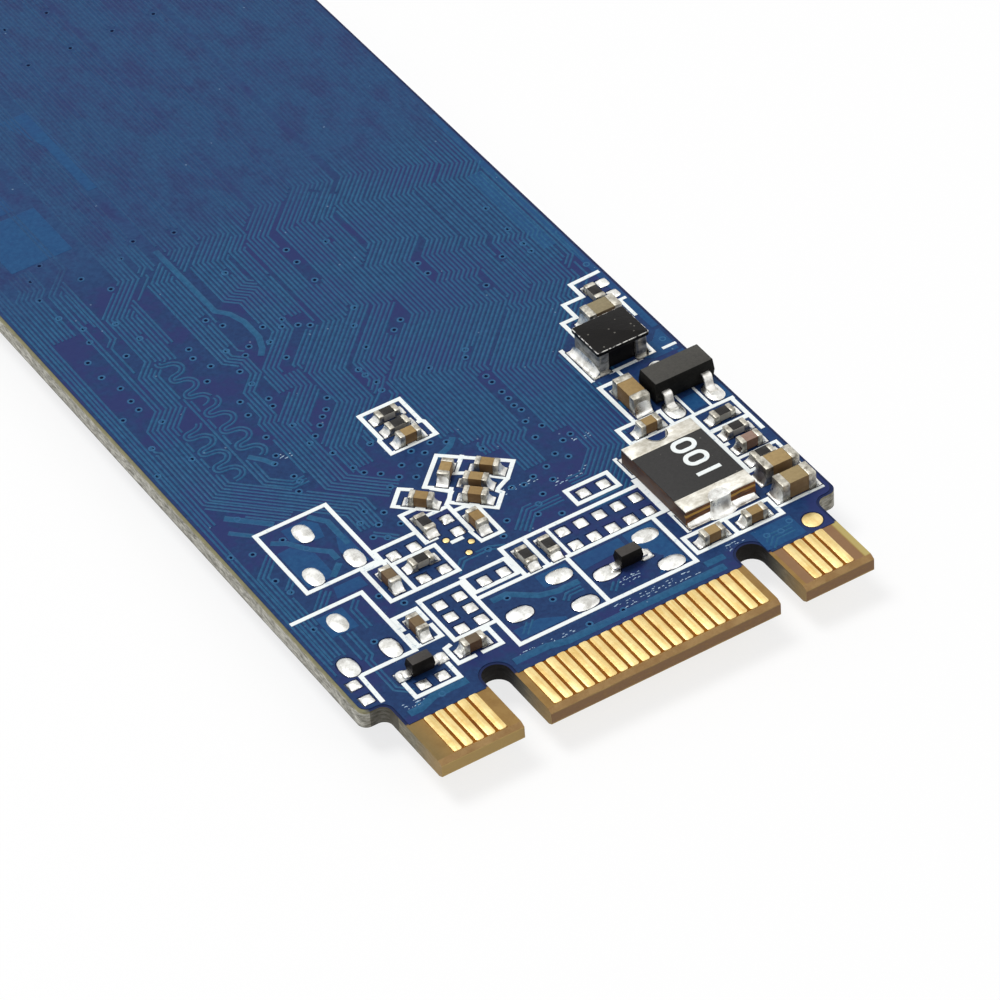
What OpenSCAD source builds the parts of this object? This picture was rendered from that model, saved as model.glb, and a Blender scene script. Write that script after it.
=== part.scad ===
// Solid state drive module: a bare keyed circuit board with parts on both faces.
// X runs across the width, Y along the length with the contact edge at -Y,
// and Z up, with the face that carries the small parts on top.
// The origin is under the middle of the board, on the outer face of the flash packages.

/* [Board] */
// Board width across the slot
board_w = 22; // [21.9:0.01:22.15]
// Board length from the contact edge to the screw end
board_l = 80; // [76:1:110]
// Laminate thickness without solder mask
core_t = 0.8; // [0.7:0.01:0.9]
// Solder mask thickness on each face
mask_t = 0.03; // [0.02:0.005:0.04]
// How far the mask stays back from the routed edge
mask_back = 0.12; // [0.08:0.01:0.2]
// Radius of the board's outer corners
corner_r = 0.4; // [0.2:0.05:0.6]

/* [Contact edge] */
// Width of the shoulder on each side of the tongue
shoulder_w = 1.075; // [1.03:0.005:1.12]
// Length of the tongue up to the shoulders
tongue_l = 4; // [3.8:0.05:4.1]
// Radius in the corner between tongue and shoulder
shoulder_r = 0.4; // [0.2:0.05:0.5]
// Width of each key notch
key_w = 1.2; // [1.1:0.01:1.25]
// Depth of each key notch
key_l = 3.5; // [3.3:0.05:3.7]
// Pitch of the contacts on one face
pitch = 0.5; // [0.495:0.001:0.5]
// Width of one contact
contact_w = 0.37; // [0.3:0.01:0.39]
// Length of one contact
contact_l = 2.25; // [1.6:0.05:2.3]
// Distance from the board's front edge to the contacts
contact_back = 0.26; // [0.24:0.01:0.4]
// Thickness of a gold-plated contact
contact_t = 0.04; // [0.03:0.005:0.06]
// Length of the bevel along the front edge
bevel_l = 0.22; // [0.1:0.01:0.23]
// Depth of that bevel on each face
bevel_h = 0.12; // [0.05:0.01:0.2]

/* [Screw notch] */
// Diameter of the half-round screw notch
screw_d = 3.5; // [3.2:0.05:3.6]
// Width of the plated ring round the notch
ring_w = 1; // [0.7:0.05:1.2]
// Thickness of the plating
plate_t = 0.03; // [0.02:0.005:0.05]

/* [Lands and legend] */
// Height of a land's top over the laminate
land_t = 0.05; // [0.05:0.005:0.08]
// Side of a small bare land
land_s = 0.5; // [0.4:0.02:0.54]
// Height of the solder dome on a bare land
dome_h = 0.13; // [0.08:0.01:0.2]
// Length of an oval land
oval_l = 1.16; // [0.9:0.02:1.2]
// Width of an oval land
oval_w = 0.76; // [0.6:0.02:0.8]
// Spacing of the paired oval lands
pair_pitch = 1.9; // [1.8:0.01:1.95]
// Spacing between the pair and the single land
row_pitch = 2.4; // [2.2:0.02:2.42]
// Clear ring in the mask round each land
land_clear = 0.05; // [0.03:0.01:0.07]
// Width of the printed outlines
ink_w = 0.19; // [0.12:0.01:0.24]
// Thickness of the printed outlines
ink_t = 0.02; // [0.01:0.005:0.02]
// Diameter of the gold fiducial
fiducial_d = 0.85; // [0.8:0.05:1.1]
// Diameter of a gold test dot
dot_d = 0.28; // [0.2:0.02:0.34]

/* [Chip parts] */
// Length of a small chip part
chip_l = 1; // [0.9:0.02:1.06]
// Width of a small chip part
chip_w = 0.5; // [0.44:0.02:0.54]
// Height of a small chip capacitor
chip_cap_h = 0.5; // [0.4:0.02:0.6]
// Height of a small chip resistor
chip_res_h = 0.35; // [0.3:0.01:0.4]
// Length of the metal end on a small chip part
chip_band = 0.24; // [0.16:0.02:0.3]
// Length of a large chip capacitor
large_l = 1.6; // [1.5:0.02:1.66]
// Width of a large chip capacitor
large_w = 0.8; // [0.7:0.02:0.88]
// Height of a large chip capacitor
large_h = 0.8; // [0.6:0.02:0.9]
// Length of the metal end on a large chip capacitor
large_band = 0.36; // [0.25:0.01:0.45]
// How far the metal ends stand proud of the ceramic
end_proud = 0.015; // [0.01:0.005:0.03]
// Reach of the solder past a part's end
solder_out = 0.26; // [0.16:0.01:0.3]

/* [Resettable fuse] */
// Length of the fuse
fuse_l = 4.6; // [4.3:0.05:4.7]
// Width of the fuse
fuse_w = 3.3; // [3:0.05:3.4]
// Height of the fuse
fuse_h = 0.75; // [0.5:0.02:1]
// Length of each metal end band
fuse_band = 0.78; // [0.6:0.02:0.9]
// Radius of the half-round plated groove in each end
groove_r = 0.44; // [0.3:0.02:0.5]
// Thickness of the fuse's foil
foil_t = 0.05; // [0.03:0.01:0.08]
// Height of a printed digit
digit_h = 1.1; // [0.8:0.05:1.2]
// Stroke of a printed digit
digit_w = 0.2; // [0.14:0.01:0.24]
// Spacing of the printed digits
digit_pitch = 0.9; // [0.85:0.01:0.95]

/* [Power inductor] */
// Length between the inductor's ends
coil_l = 2.5; // [2.3:0.05:2.6]
// Width of the inductor
coil_w = 2; // [1.8:0.05:2.05]
// Height of the inductor
coil_h = 1.2; // [0.9:0.05:1.4]
// Thickness of the inductor's top plate
coil_top = 0.2; // [0.15:0.01:0.3]
// Corner radius of the top plate
coil_r = 0.08; // [0.04:0.01:0.2]
// How far the winding is set in under the plate
coil_inset = 0.22; // [0.2:0.01:0.3]
// Length of each metal foot
foot_l = 0.55; // [0.4:0.05:0.7]
// How far the feet are set in under the plate
foot_inset = 0.06; // [0.02:0.01:0.1]
// Height that the solder climbs on a foot
foot_wet = 0.46; // [0.2:0.02:0.6]

/* [Moulded parts] */
// Length of the transistor's case
tran_l = 2.9; // [2.7:0.05:3]
// Width of the transistor's case
tran_w = 1.3; // [1.2:0.05:1.4]
// Height of the transistor over its lands
tran_h = 1.1; // [0.9:0.02:1.15]
// Gap under a moulded case
case_gap = 0.08; // [0.04:0.01:0.12]
// Gap under a moulded diode
diode_gap = 0.12; // [0.08:0.01:0.15]
// Width of a transistor lead
lead_w = 0.4; // [0.3:0.02:0.45]
// Thickness of a bent lead
lead_t = 0.13; // [0.1:0.01:0.18]
// Draft of moulded sides, as inset at top and bottom
draft = 0.07; // [0.03:0.01:0.1]
// Length of a moulded diode's case
diode_l = 1.05; // [0.9:0.05:1.1]
// Width of a moulded diode's case
diode_w = 0.62; // [0.5:0.02:0.7]
// Height of a moulded diode over its lands
diode_h = 0.76; // [0.6:0.02:0.8]

/* [Underside packages] */
// Side of the square controller package
ctrl_s = 12; // [10:0.5:12.5]
// Thickness of the controller's case
ctrl_h = 1; // [0.8:0.05:1.1]
// Width of a flash package
flash_w = 14; // [12:0.5:15]
// Length of a flash package
flash_l = 18; // [16:0.5:18.5]
// Thickness of a flash package's case
flash_h = 1; // [0.8:0.05:1.2]
// Height of the solder balls
ball_h = 0.2; // [0.15:0.01:0.3]
// Diameter of a solder ball
ball_d = 0.42; // [0.3:0.02:0.5]
// Pitch of the controller's balls
ctrl_pitch = 0.8; // [0.65:0.05:0.8]
// Pitch of the flash packages' balls
flash_pitch = 1; // [0.8:0.05:1]
// Space between the screw notch ring and the outer flash package
flash_clear = 3.5; // [2:0.1:4]
// Space between the two flash packages
flash_space = 2.5; // [1.5:0.1:4]
// Distance from the contact edge to the controller's middle
ctrl_y = 19.5; // [18.5:0.1:20]
// Length of the crystal
crystal_l = 2.5; // [2.2:0.1:2.6]
// Width of the crystal
crystal_w = 2; // [1.6:0.1:2.1]
// Height of the crystal
crystal_h = 0.55; // [0.4:0.05:0.7]

/* [Hidden] */
$fn = 48;

front_y = -board_l / 2;
low_z = max(flash_h, ctrl_h) + ball_h + mask_t;
up_z = low_z + core_t;
screw_r = screw_d / 2;
ring_r = screw_r + ring_w;
tongue_x = board_w / 2 - shoulder_w;
mask_front = contact_back + contact_l;
skin_h = 3;

// Contact n sits at this distance from the board's centre line
function pin_x(n) = (n - 38) * pitch / 2;
key_x = [pin_x(15.5), pin_x(62.5)];
upper_pins = concat([for (n = [2:2:10]) n], [for (n = [20:2:58]) n], [for (n = [68:2:74]) n]);
lower_pins = concat([for (n = [1:2:11]) n], [for (n = [21:2:57]) n], [for (n = [67:2:75]) n]);

outer_flash_y = board_l - ring_r - flash_clear - flash_l / 2;
inner_flash_y = outer_flash_y - flash_l - flash_space;

// The layout is drawn for a board 22 wide with a tongue 4 long. It stretches
// with the board and starts at the shoulders.
grid = board_w / 22;
function spot(p) = [for (i = [0:len(p) - 1])
    i == 0 ? p[0] * grid : i == 1 ? tongue_l + (p[1] - 4) * grid : p[i]];
function spots(list) = [for (p = list) spot(p)];
module laid_out() {
    translate([0, tongue_l]) scale(grid) translate([0, -4]) children();
}

// Places on the upper face: distance from the centre line, distance from the
// contact edge, and turn in degrees
small_caps = spots([
    [-6.24, 9.7, 90], [-1.66, 10.6, 90], [-1.13, 13.8, 45], [0.38, 13.08, -45],
    [-0.45, 12.6, -45], [-0.93, 11.87, -45], [-2.82, 12.9, -45], [-1.21, 16.5, 0],
    [-6.79, 6.76, 90], [-5.55, 4.7, 0], [6.95, 11.38, 0], [5.38, 4.5, 0],
    [7.37, 4.5, 0], [9.67, 8.24, 0]
]);
large_caps = spots([[7.33, 13.22, 90], [9.68, 6.26, 0], [9.63, 5.03, 0], [9.13, 18.22, 0]]);
resistors = spots([
    [-4.7, 9.91, 0], [-3.44, 11.66, 90], [-1.19, 18.2, 0], [-1.2, 17.35, 0],
    [-1.22, 7.72, 90], [-0.17, 7.72, 90], [9.76, 10.29, 0], [9.7, 9.24, 0],
    [9.69, 7.32, 0], [9.75, 19.65, 90]
]);
footprints = spots([[-7.56, 12.95, 0], [-9.1, 7.73, 0], [-1.88, 5.24, 90], [2.14, 5.24, 90]]);
bare_lands = spots(concat(
    [[-5.05, 9.15], [-4.1, 9.15], [-5.33, 10.93], [-4.4, 10.93], [-2.5, 11.55], [-2.5, 10.7],
     [-3.2, 7.65], [-2.3, 7.65], [2.73, 9.7], [3.68, 9.7], [-10.4, 5.55], [-10.4, 4.6],
     [-8.2, 4.05], [-7.35, 4.05], [10.48, 20.2], [10.48, 19.35]],
    [for (i = [0:4], j = [0:1]) [0.83 + 0.86 * i, 7.32 + 0.95 * j]],
    [for (i = [0:1], j = [0:2]) [-5.35 + 0.9 * i, 5.86 + 0.8 * j]]
));
gold_dots_at = spots([[-3.17, 10.52], [-2.38, 9.9], [-2.8, 9.4]]);
fiducial_at = spot([9.18, 3.13]);
fuse_at = spot([6.57, 7.97]);
coil_at = spot([8.33, 16.26]);
tran_at = spot([9.37, 12.98]);
// Moulded diodes: place, and size against the named one
diodes = spots([[-7.92, 4.72, 1], [1.92, 5.24, 0.88]]);
diode_lands = spots([[-8.66, 4.9], [-6.9, 4.9], [2.72, 5.24]]);

// Places on the underside
low_small_caps = concat(
    [for (i = [-3.5:3.5]) [i * 2 * grid, ctrl_y + ctrl_s / 2 + 1.2 * grid, 90]],
    [for (s = [-1, 1], j = [0.4:2.4])
        [s * (ctrl_s / 2 + 1.3 * grid), ctrl_y + 1.5 * grid * j, 0]]
);
low_large_caps = [for (i = [-2:1]) [i * 2.6 * grid, ctrl_y - ctrl_s / 2 - 1.4 * grid, 0]];
low_resistors = [for (i = [0:5])
    [(-8.6 + 1.5 * i) * grid, ctrl_y - ctrl_s / 2 - 4.1 * grid, 90]];
crystal_at = [ctrl_s / 2 + 2.3 * grid, ctrl_y - 3.4 * grid];
reg_at = [6.6 * grid, ctrl_y - ctrl_s / 2 - 4.8 * grid];
choke_at = [-ctrl_s / 2 - 2.5 * grid, ctrl_y - 2.8 * grid];

// Rectangle with cut corners, standing on the X axis
module cut_rect(w, h, c) {
    polygon([[-w / 2 + c, 0], [w / 2 - c, 0], [w / 2, c], [w / 2, h - c],
             [w / 2 - c, h], [-w / 2 + c, h], [-w / 2, h - c], [-w / 2, c]]);
}

// Bar along X with cut long edges, its underside at z = 0
module bar_x(l, w, h, c) {
    rotate([90, 0, 90]) linear_extrude(l, center = true) cut_rect(w, h, c);
}

// Rectangle with round corners, centred
module round_rect(w, l, r) {
    square([w - 2 * r, l], center = true);
    square([w, l - 2 * r], center = true);
    for (sx = [-1, 1], sy = [-1, 1])
        translate([sx * (w / 2 - r), sy * (l / 2 - r)]) circle(r);
}

// Oval with its long axis along Y
module oval(w, l) {
    square([w, l - w], center = true);
    for (s = [-1, 1]) translate([0, s * (l - w) / 2]) circle(d = w);
}

// Printed line through a list of points, mitred at its bends
function left(d) = [-d.y, d.x];
module stroke(points, w) {
    last = len(points) - 1;
    runs = [for (i = [0:last - 1]) (points[i + 1] - points[i]) / norm(points[i + 1] - points[i])];
    side = [for (i = [0:last]) let (a = runs[max(i - 1, 0)], b = runs[min(i, last - 1)])
        (left(a) + left(b)) / (1 + a * b) * w / 2];
    path = [for (i = [0:last])
        points[i] + (i == 0 ? -runs[0] : i == last ? runs[last - 1] : [0, 0]) * 0.4 * w];
    polygon(concat([for (i = [0:last]) path[i] + side[i]],
                   [for (i = [last:-1:0]) path[i] - side[i]]));
}

// Closed printed frame
module frame_line(x0, y0, x1, y1, w) {
    difference() {
        translate([x0 - w / 2, y0 - w / 2]) square([x1 - x0 + w, y1 - y0 + w]);
        translate([x0 + w / 2, y0 + w / 2]) square([x1 - x0 - w, y1 - y0 - w]);
    }
}

// Board outline drawn back by a margin from every routed edge
module board_2d(back) {
    half = board_w / 2 - back;
    tongue = tongue_x - back;
    inner = shoulder_r + back;
    difference() {
        union() {
            translate([-half, tongue_l + back])
                square([2 * half, board_l - tongue_l - 2 * back]);
            translate([-tongue, back]) square([2 * tongue, tongue_l]);
            for (s = [-1, 1]) difference() {
                translate([s * (tongue + inner / 2), tongue_l + back - inner / 2])
                    square(inner + 0.001, center = true);
                translate([s * (tongue + inner), tongue_l + back - inner]) circle(inner);
            }
        }
        for (s = [-1, 1]) {
            corner_cut([s * half, tongue_l + back], [s, -1], corner_r);
            corner_cut([s * half, board_l - back], [s, 1], corner_r);
        }
        for (x = key_x) {
            translate([x - key_w / 2 - back, -1]) square([key_w + 2 * back, key_l - key_w / 2 + 1]);
            translate([x, key_l - key_w / 2]) circle(key_w / 2 + back);
        }
        translate([0, board_l]) circle(screw_r + plate_t + back, $fn = 96);
    }
}

// What a corner radius takes off a square corner
module corner_cut(at, out, r) {
    translate(at) difference() {
        translate([out.x * (0.5 - r / 2), out.y * (0.5 - r / 2)]) square(r + 1, center = true);
        translate([-out.x * r, -out.y * r]) circle(r);
        translate([-out.x * (r + 0.5), 0]) square([1, 2 * r + 4], center = true);
        translate([0, -out.y * (r + 0.5)]) square([2 * r + 4, 1], center = true);
    }
}

// Puts a part's children on the upper face, standing on their lands
module on_top(at) {
    translate([at.x, front_y + at.y, up_z + land_t])
        rotate(len(at) > 2 ? at.z : 0) children();
}

// The same for the underside, where up points down
module on_back(at) {
    translate([at.x, front_y + at.y, low_z - land_t]) mirror([0, 0, 1])
        rotate(len(at) > 2 ? at.z : 0) children();
}

// Flat outlines laid on the upper or the lower face
module top_sheet(z0, t) {
    translate([0, front_y, up_z + z0]) linear_extrude(t) children();
}
module back_sheet(z0, t) {
    translate([0, front_y, low_z - z0 - t]) linear_extrude(t) children();
}

// Two flat lands under a part with metal ends
module land_pair_2d(at, l, w, band, grow) {
    in = l / 2 - band;
    out = l / 2 + solder_out;
    translate([at.x, at.y]) rotate(len(at) > 2 ? at.z : 0) for (s = [-1, 1])
        translate([s * (in + out) / 2, 0]) square([out - in + 2 * grow, w + 2 * grow], center = true);
}

// Flat lands of the parts on the upper face
module upper_part_lands_2d(grow) {
    for (at = concat(small_caps, resistors)) land_pair_2d(at, chip_l, chip_w, chip_band, grow);
    for (at = large_caps) land_pair_2d(at, large_l, large_w, large_band, grow);
    land_pair_2d([fuse_at.x, fuse_at.y, 90], fuse_l, fuse_w, fuse_band, grow);
    land_pair_2d(coil_at, coil_l, coil_w + 0.1, foot_l + foot_inset, grow);
    translate(tran_at) footprint_2d(grow);
    for (at = diode_lands) translate(at) square(land_s + 2 * grow, center = true);
}

// Three oval lands of a transistor
module footprint_2d(grow) {
    translate([0, row_pitch / 2]) oval(oval_w + 2 * grow, oval_l + 2 * grow);
    for (s = [-1, 1]) translate([s * pair_pitch / 2, -row_pitch / 2])
        oval(oval_w + 2 * grow, oval_l + 2 * grow);
}

// Bare lands of the upper face
module bare_lands_2d(grow) {
    for (at = bare_lands) translate(at) square(land_s + 2 * grow, center = true);
    for (at = footprints) translate([at.x, at.y]) rotate(at.z) footprint_2d(grow);
}

module gold_dots_2d(grow) {
    translate(fiducial_at) circle(fiducial_d / 2 + grow);
    for (at = gold_dots_at) translate(at) circle(dot_d / 2 + grow);
}

// Flat lands of the parts on the underside
module lower_part_lands_2d(grow) {
    for (at = concat(low_small_caps, low_resistors)) land_pair_2d(at, chip_l, chip_w, chip_band, grow);
    for (at = low_large_caps) land_pair_2d(at, large_l, large_w, large_band, grow);
    land_pair_2d([choke_at.x, choke_at.y, 90], coil_l, coil_w + 0.1, foot_l + foot_inset, grow);
    translate(reg_at) footprint_2d(grow);
    for (sx = [-1, 1], sy = [-1, 1])
        translate([crystal_at.x + sx * (crystal_w / 2 - 0.35), crystal_at.y + sy * (crystal_l / 2 - 0.4)])
            square([0.6 + 2 * grow, 0.7 + 2 * grow], center = true);
}

// Solder that climbs a part's end, drawn at +X and mirrored to -X
module solder_pair(l, w, h) {
    for (s = [0, 1]) mirror([s, 0, 0]) translate([l / 2, 0, 0]) rotate([90, 0, 0])
        linear_extrude(w * 0.94, center = true)
            polygon([[0, 0], [solder_out, 0], [solder_out * 0.5, h * 0.22],
                     [solder_out * 0.18, h * 0.55], [0, h * 0.82]]);
}

// Ceramic between the metal ends
module chip_body(l, w, h, band) {
    translate([0, 0, end_proud])
        bar_x(l - 2 * band, w - 2 * end_proud, h - 2 * end_proud, 0.02);
}

// Metal ends that wrap the ceramic
module chip_ends(l, w, h, band) {
    for (s = [-1, 1]) translate([s * (l - band) / 2, 0, 0]) bar_x(band, w, h, 0.035);
}

// Round-cornered moulded case with draft above and below its parting line
module moulded_case(l, w, z0, z1) {
    mid = (z0 + z1) / 2;
    intersection() {
        rotate([90, 0, 90]) linear_extrude(l, center = true)
            polygon([[-w / 2 + draft, z0], [w / 2 - draft, z0], [w / 2, mid],
                     [w / 2 - draft, z1], [-w / 2 + draft, z1], [-w / 2, mid]]);
        rotate([90, 0, 0]) linear_extrude(w, center = true)
            polygon([[-l / 2 + draft, z0], [l / 2 - draft, z0], [l / 2, mid],
                     [l / 2 - draft, z1], [-l / 2 + draft, z1], [-l / 2, mid]]);
    }
}

// Lead that leaves the case at mid height, bends down and lies on its land
module bent_lead(w) {
    mid = (case_gap + tran_h) / 2;
    start = tran_w / 2;
    rotate([90, 0, 90]) linear_extrude(w, center = true)
        polygon([[start - draft, mid - lead_t / 2], [start + 0.12, mid - lead_t / 2],
                 [start + 0.24, 0], [start + 0.62, 0], [start + 0.62, lead_t],
                 [start + 0.34, lead_t], [start + 0.22, mid + lead_t / 2],
                 [start - draft, mid + lead_t / 2]]);
}

module three_leads() {
    difference() {
        union() {
            bent_lead(lead_w);
            for (s = [-1, 1]) translate([s * pair_pitch / 2, 0, 0]) rotate(180) bent_lead(lead_w);
        }
        moulded_case(tran_l, tran_w, case_gap, tran_h);
    }
}

// Wound inductor: a core set in between two feet, under a plate
coil_under = coil_h - coil_top;
module coil_core() {
    translate([0, 0, 0.03]) linear_extrude(coil_under - 0.03)
        square([coil_l - 2 * foot_l - 2 * foot_inset, coil_w - 2 * coil_inset], center = true);
}
module coil_plate() {
    translate([0, 0, coil_under]) linear_extrude(coil_top) round_rect(coil_l, coil_w, coil_r);
}
module coil_feet() {
    for (s = [-1, 1]) translate([s * ((coil_l - foot_l) / 2 - foot_inset), 0, 0])
        linear_extrude(coil_under) round_rect(foot_l, coil_w - 2 * foot_inset, 0.12);
}
module coil_solder() {
    solder_pair(coil_l - 2 * foot_inset, coil_w - 2 * foot_inset, foot_wet);
}

// Land with its solder drawn into a low dome
module domed_land(w, l) {
    half = norm([w, l]) / 2;
    ball_r = (half * half + dome_h * dome_h) / (2 * dome_h);
    intersection() {
        linear_extrude(skin_h) children();
        translate([0, 0, land_t + dome_h - ball_r]) sphere(ball_r, $fn = 96);
    }
}

// Solder balls in a ring of the given counts round a block in the middle
module ball_ring(nx, ny, step, inner) {
    for (i = [0:nx - 1], j = [0:ny - 1])
        if (i == 0 || j == 0 || i == nx - 1 || j == ny - 1
            || (abs(i - (nx - 1) / 2) < inner && abs(j - (ny - 1) / 2) < inner))
            translate([(i - (nx - 1) / 2) * step, (j - (ny - 1) / 2) * step, 0])
                cylinder(d = ball_d, h = ball_h, $fn = 24);
}

// Moulded array package with cut edges and a dimple at contact one
module array_case(w, l, h) {
    difference() {
        intersection() {
            rotate([90, 0, 90]) linear_extrude(w, center = true) cut_rect(l, h, 0.08);
            rotate([90, 0, 0]) linear_extrude(l, center = true) cut_rect(w, h, 0.08);
        }
        translate([-w / 2 + 1.2, -l / 2 + 1.2, h - 0.06]) cylinder(d = 0.9, h = 1);
    }
}

// Underside package standing on its balls
module on_balls(at, lift) {
    translate([at.x, front_y + at.y, low_z - mask_t - lift]) mirror([0, 0, 1]) children();
}

module laminate() {
    color("#9c8a55") difference() {
        translate([0, front_y, low_z]) linear_extrude(core_t) board_2d(0);
        for (z = [0, 1]) translate([0, front_y, low_z + core_t / 2]) mirror([0, 0, z])
            translate([0, 0, core_t / 2]) rotate([90, 0, 90]) linear_extrude(board_w, center = true)
                polygon([[-1, 1], [-1, -bevel_h - bevel_h / bevel_l], [0, -bevel_h],
                         [bevel_l, 0], [bevel_l, 1]]);
    }
}

module mask_2d() {
    difference() {
        board_2d(mask_back);
        translate([-board_w, -1]) square([2 * board_w, mask_front + 1]);
        translate([0, board_l]) circle(ring_r + land_clear, $fn = 96);
    }
}

module upper_solder_mask() {
    color("#24407a") top_sheet(0, mask_t) difference() {
        mask_2d();
        upper_part_lands_2d(land_clear);
        bare_lands_2d(land_clear);
        gold_dots_2d(land_clear);
    }
}

module lower_solder_mask() {
    color("#24407a") back_sheet(0, mask_t) difference() {
        mask_2d();
        lower_part_lands_2d(land_clear);
    }
}

module contacts_2d(pins) {
    for (n = pins) translate([pin_x(n), contact_back + contact_l / 2])
        round_rect(contact_w, contact_l, 0.09);
}

module upper_edge_contacts() {
    color("#e3bd5e") top_sheet(0, contact_t) contacts_2d(upper_pins);
}

module lower_edge_contacts() {
    color("#e3bd5e") back_sheet(0, contact_t) contacts_2d(lower_pins);
}

module screw_notch_plating() {
    color("#d9dadb") translate([0, front_y + board_l, 0]) difference() {
        union() {
            translate([0, 0, low_z - plate_t])
                cylinder(r = screw_r + plate_t, h = core_t + 2 * plate_t, $fn = 96);
            translate([0, 0, low_z - plate_t]) cylinder(r = ring_r, h = plate_t, $fn = 96);
            translate([0, 0, up_z]) cylinder(r = ring_r, h = plate_t, $fn = 96);
        }
        translate([0, 0, low_z - 1]) cylinder(r = screw_r, h = core_t + 2, $fn = 96);
        translate([-ring_r - 1, 0, 0]) cube([2 * ring_r + 2, ring_r + 1, up_z + 1]);
    }
}

module gold_dots() {
    color("#e8c565") top_sheet(0, contact_t) gold_dots_2d(0);
}

module small_bare_lands() {
    color("#e6e6e2") for (at = bare_lands) translate([at.x, front_y + at.y, up_z])
        domed_land(land_s, land_s) square(land_s, center = true);
}

module oval_bare_lands() {
    color("#e6e6e2") for (at = footprints) translate([at.x, front_y + at.y, up_z]) rotate(at.z)
        for (p = [[0, row_pitch / 2], [-pair_pitch / 2, -row_pitch / 2], [pair_pitch / 2, -row_pitch / 2]])
            translate(p) domed_land(oval_w, oval_l) oval(oval_w, oval_l);
}

module upper_part_lands() {
    color("#d8d8d4") top_sheet(0, land_t) upper_part_lands_2d(0);
}

module lower_part_lands() {
    color("#d8d8d4") back_sheet(0, land_t) lower_part_lands_2d(0);
}

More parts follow.
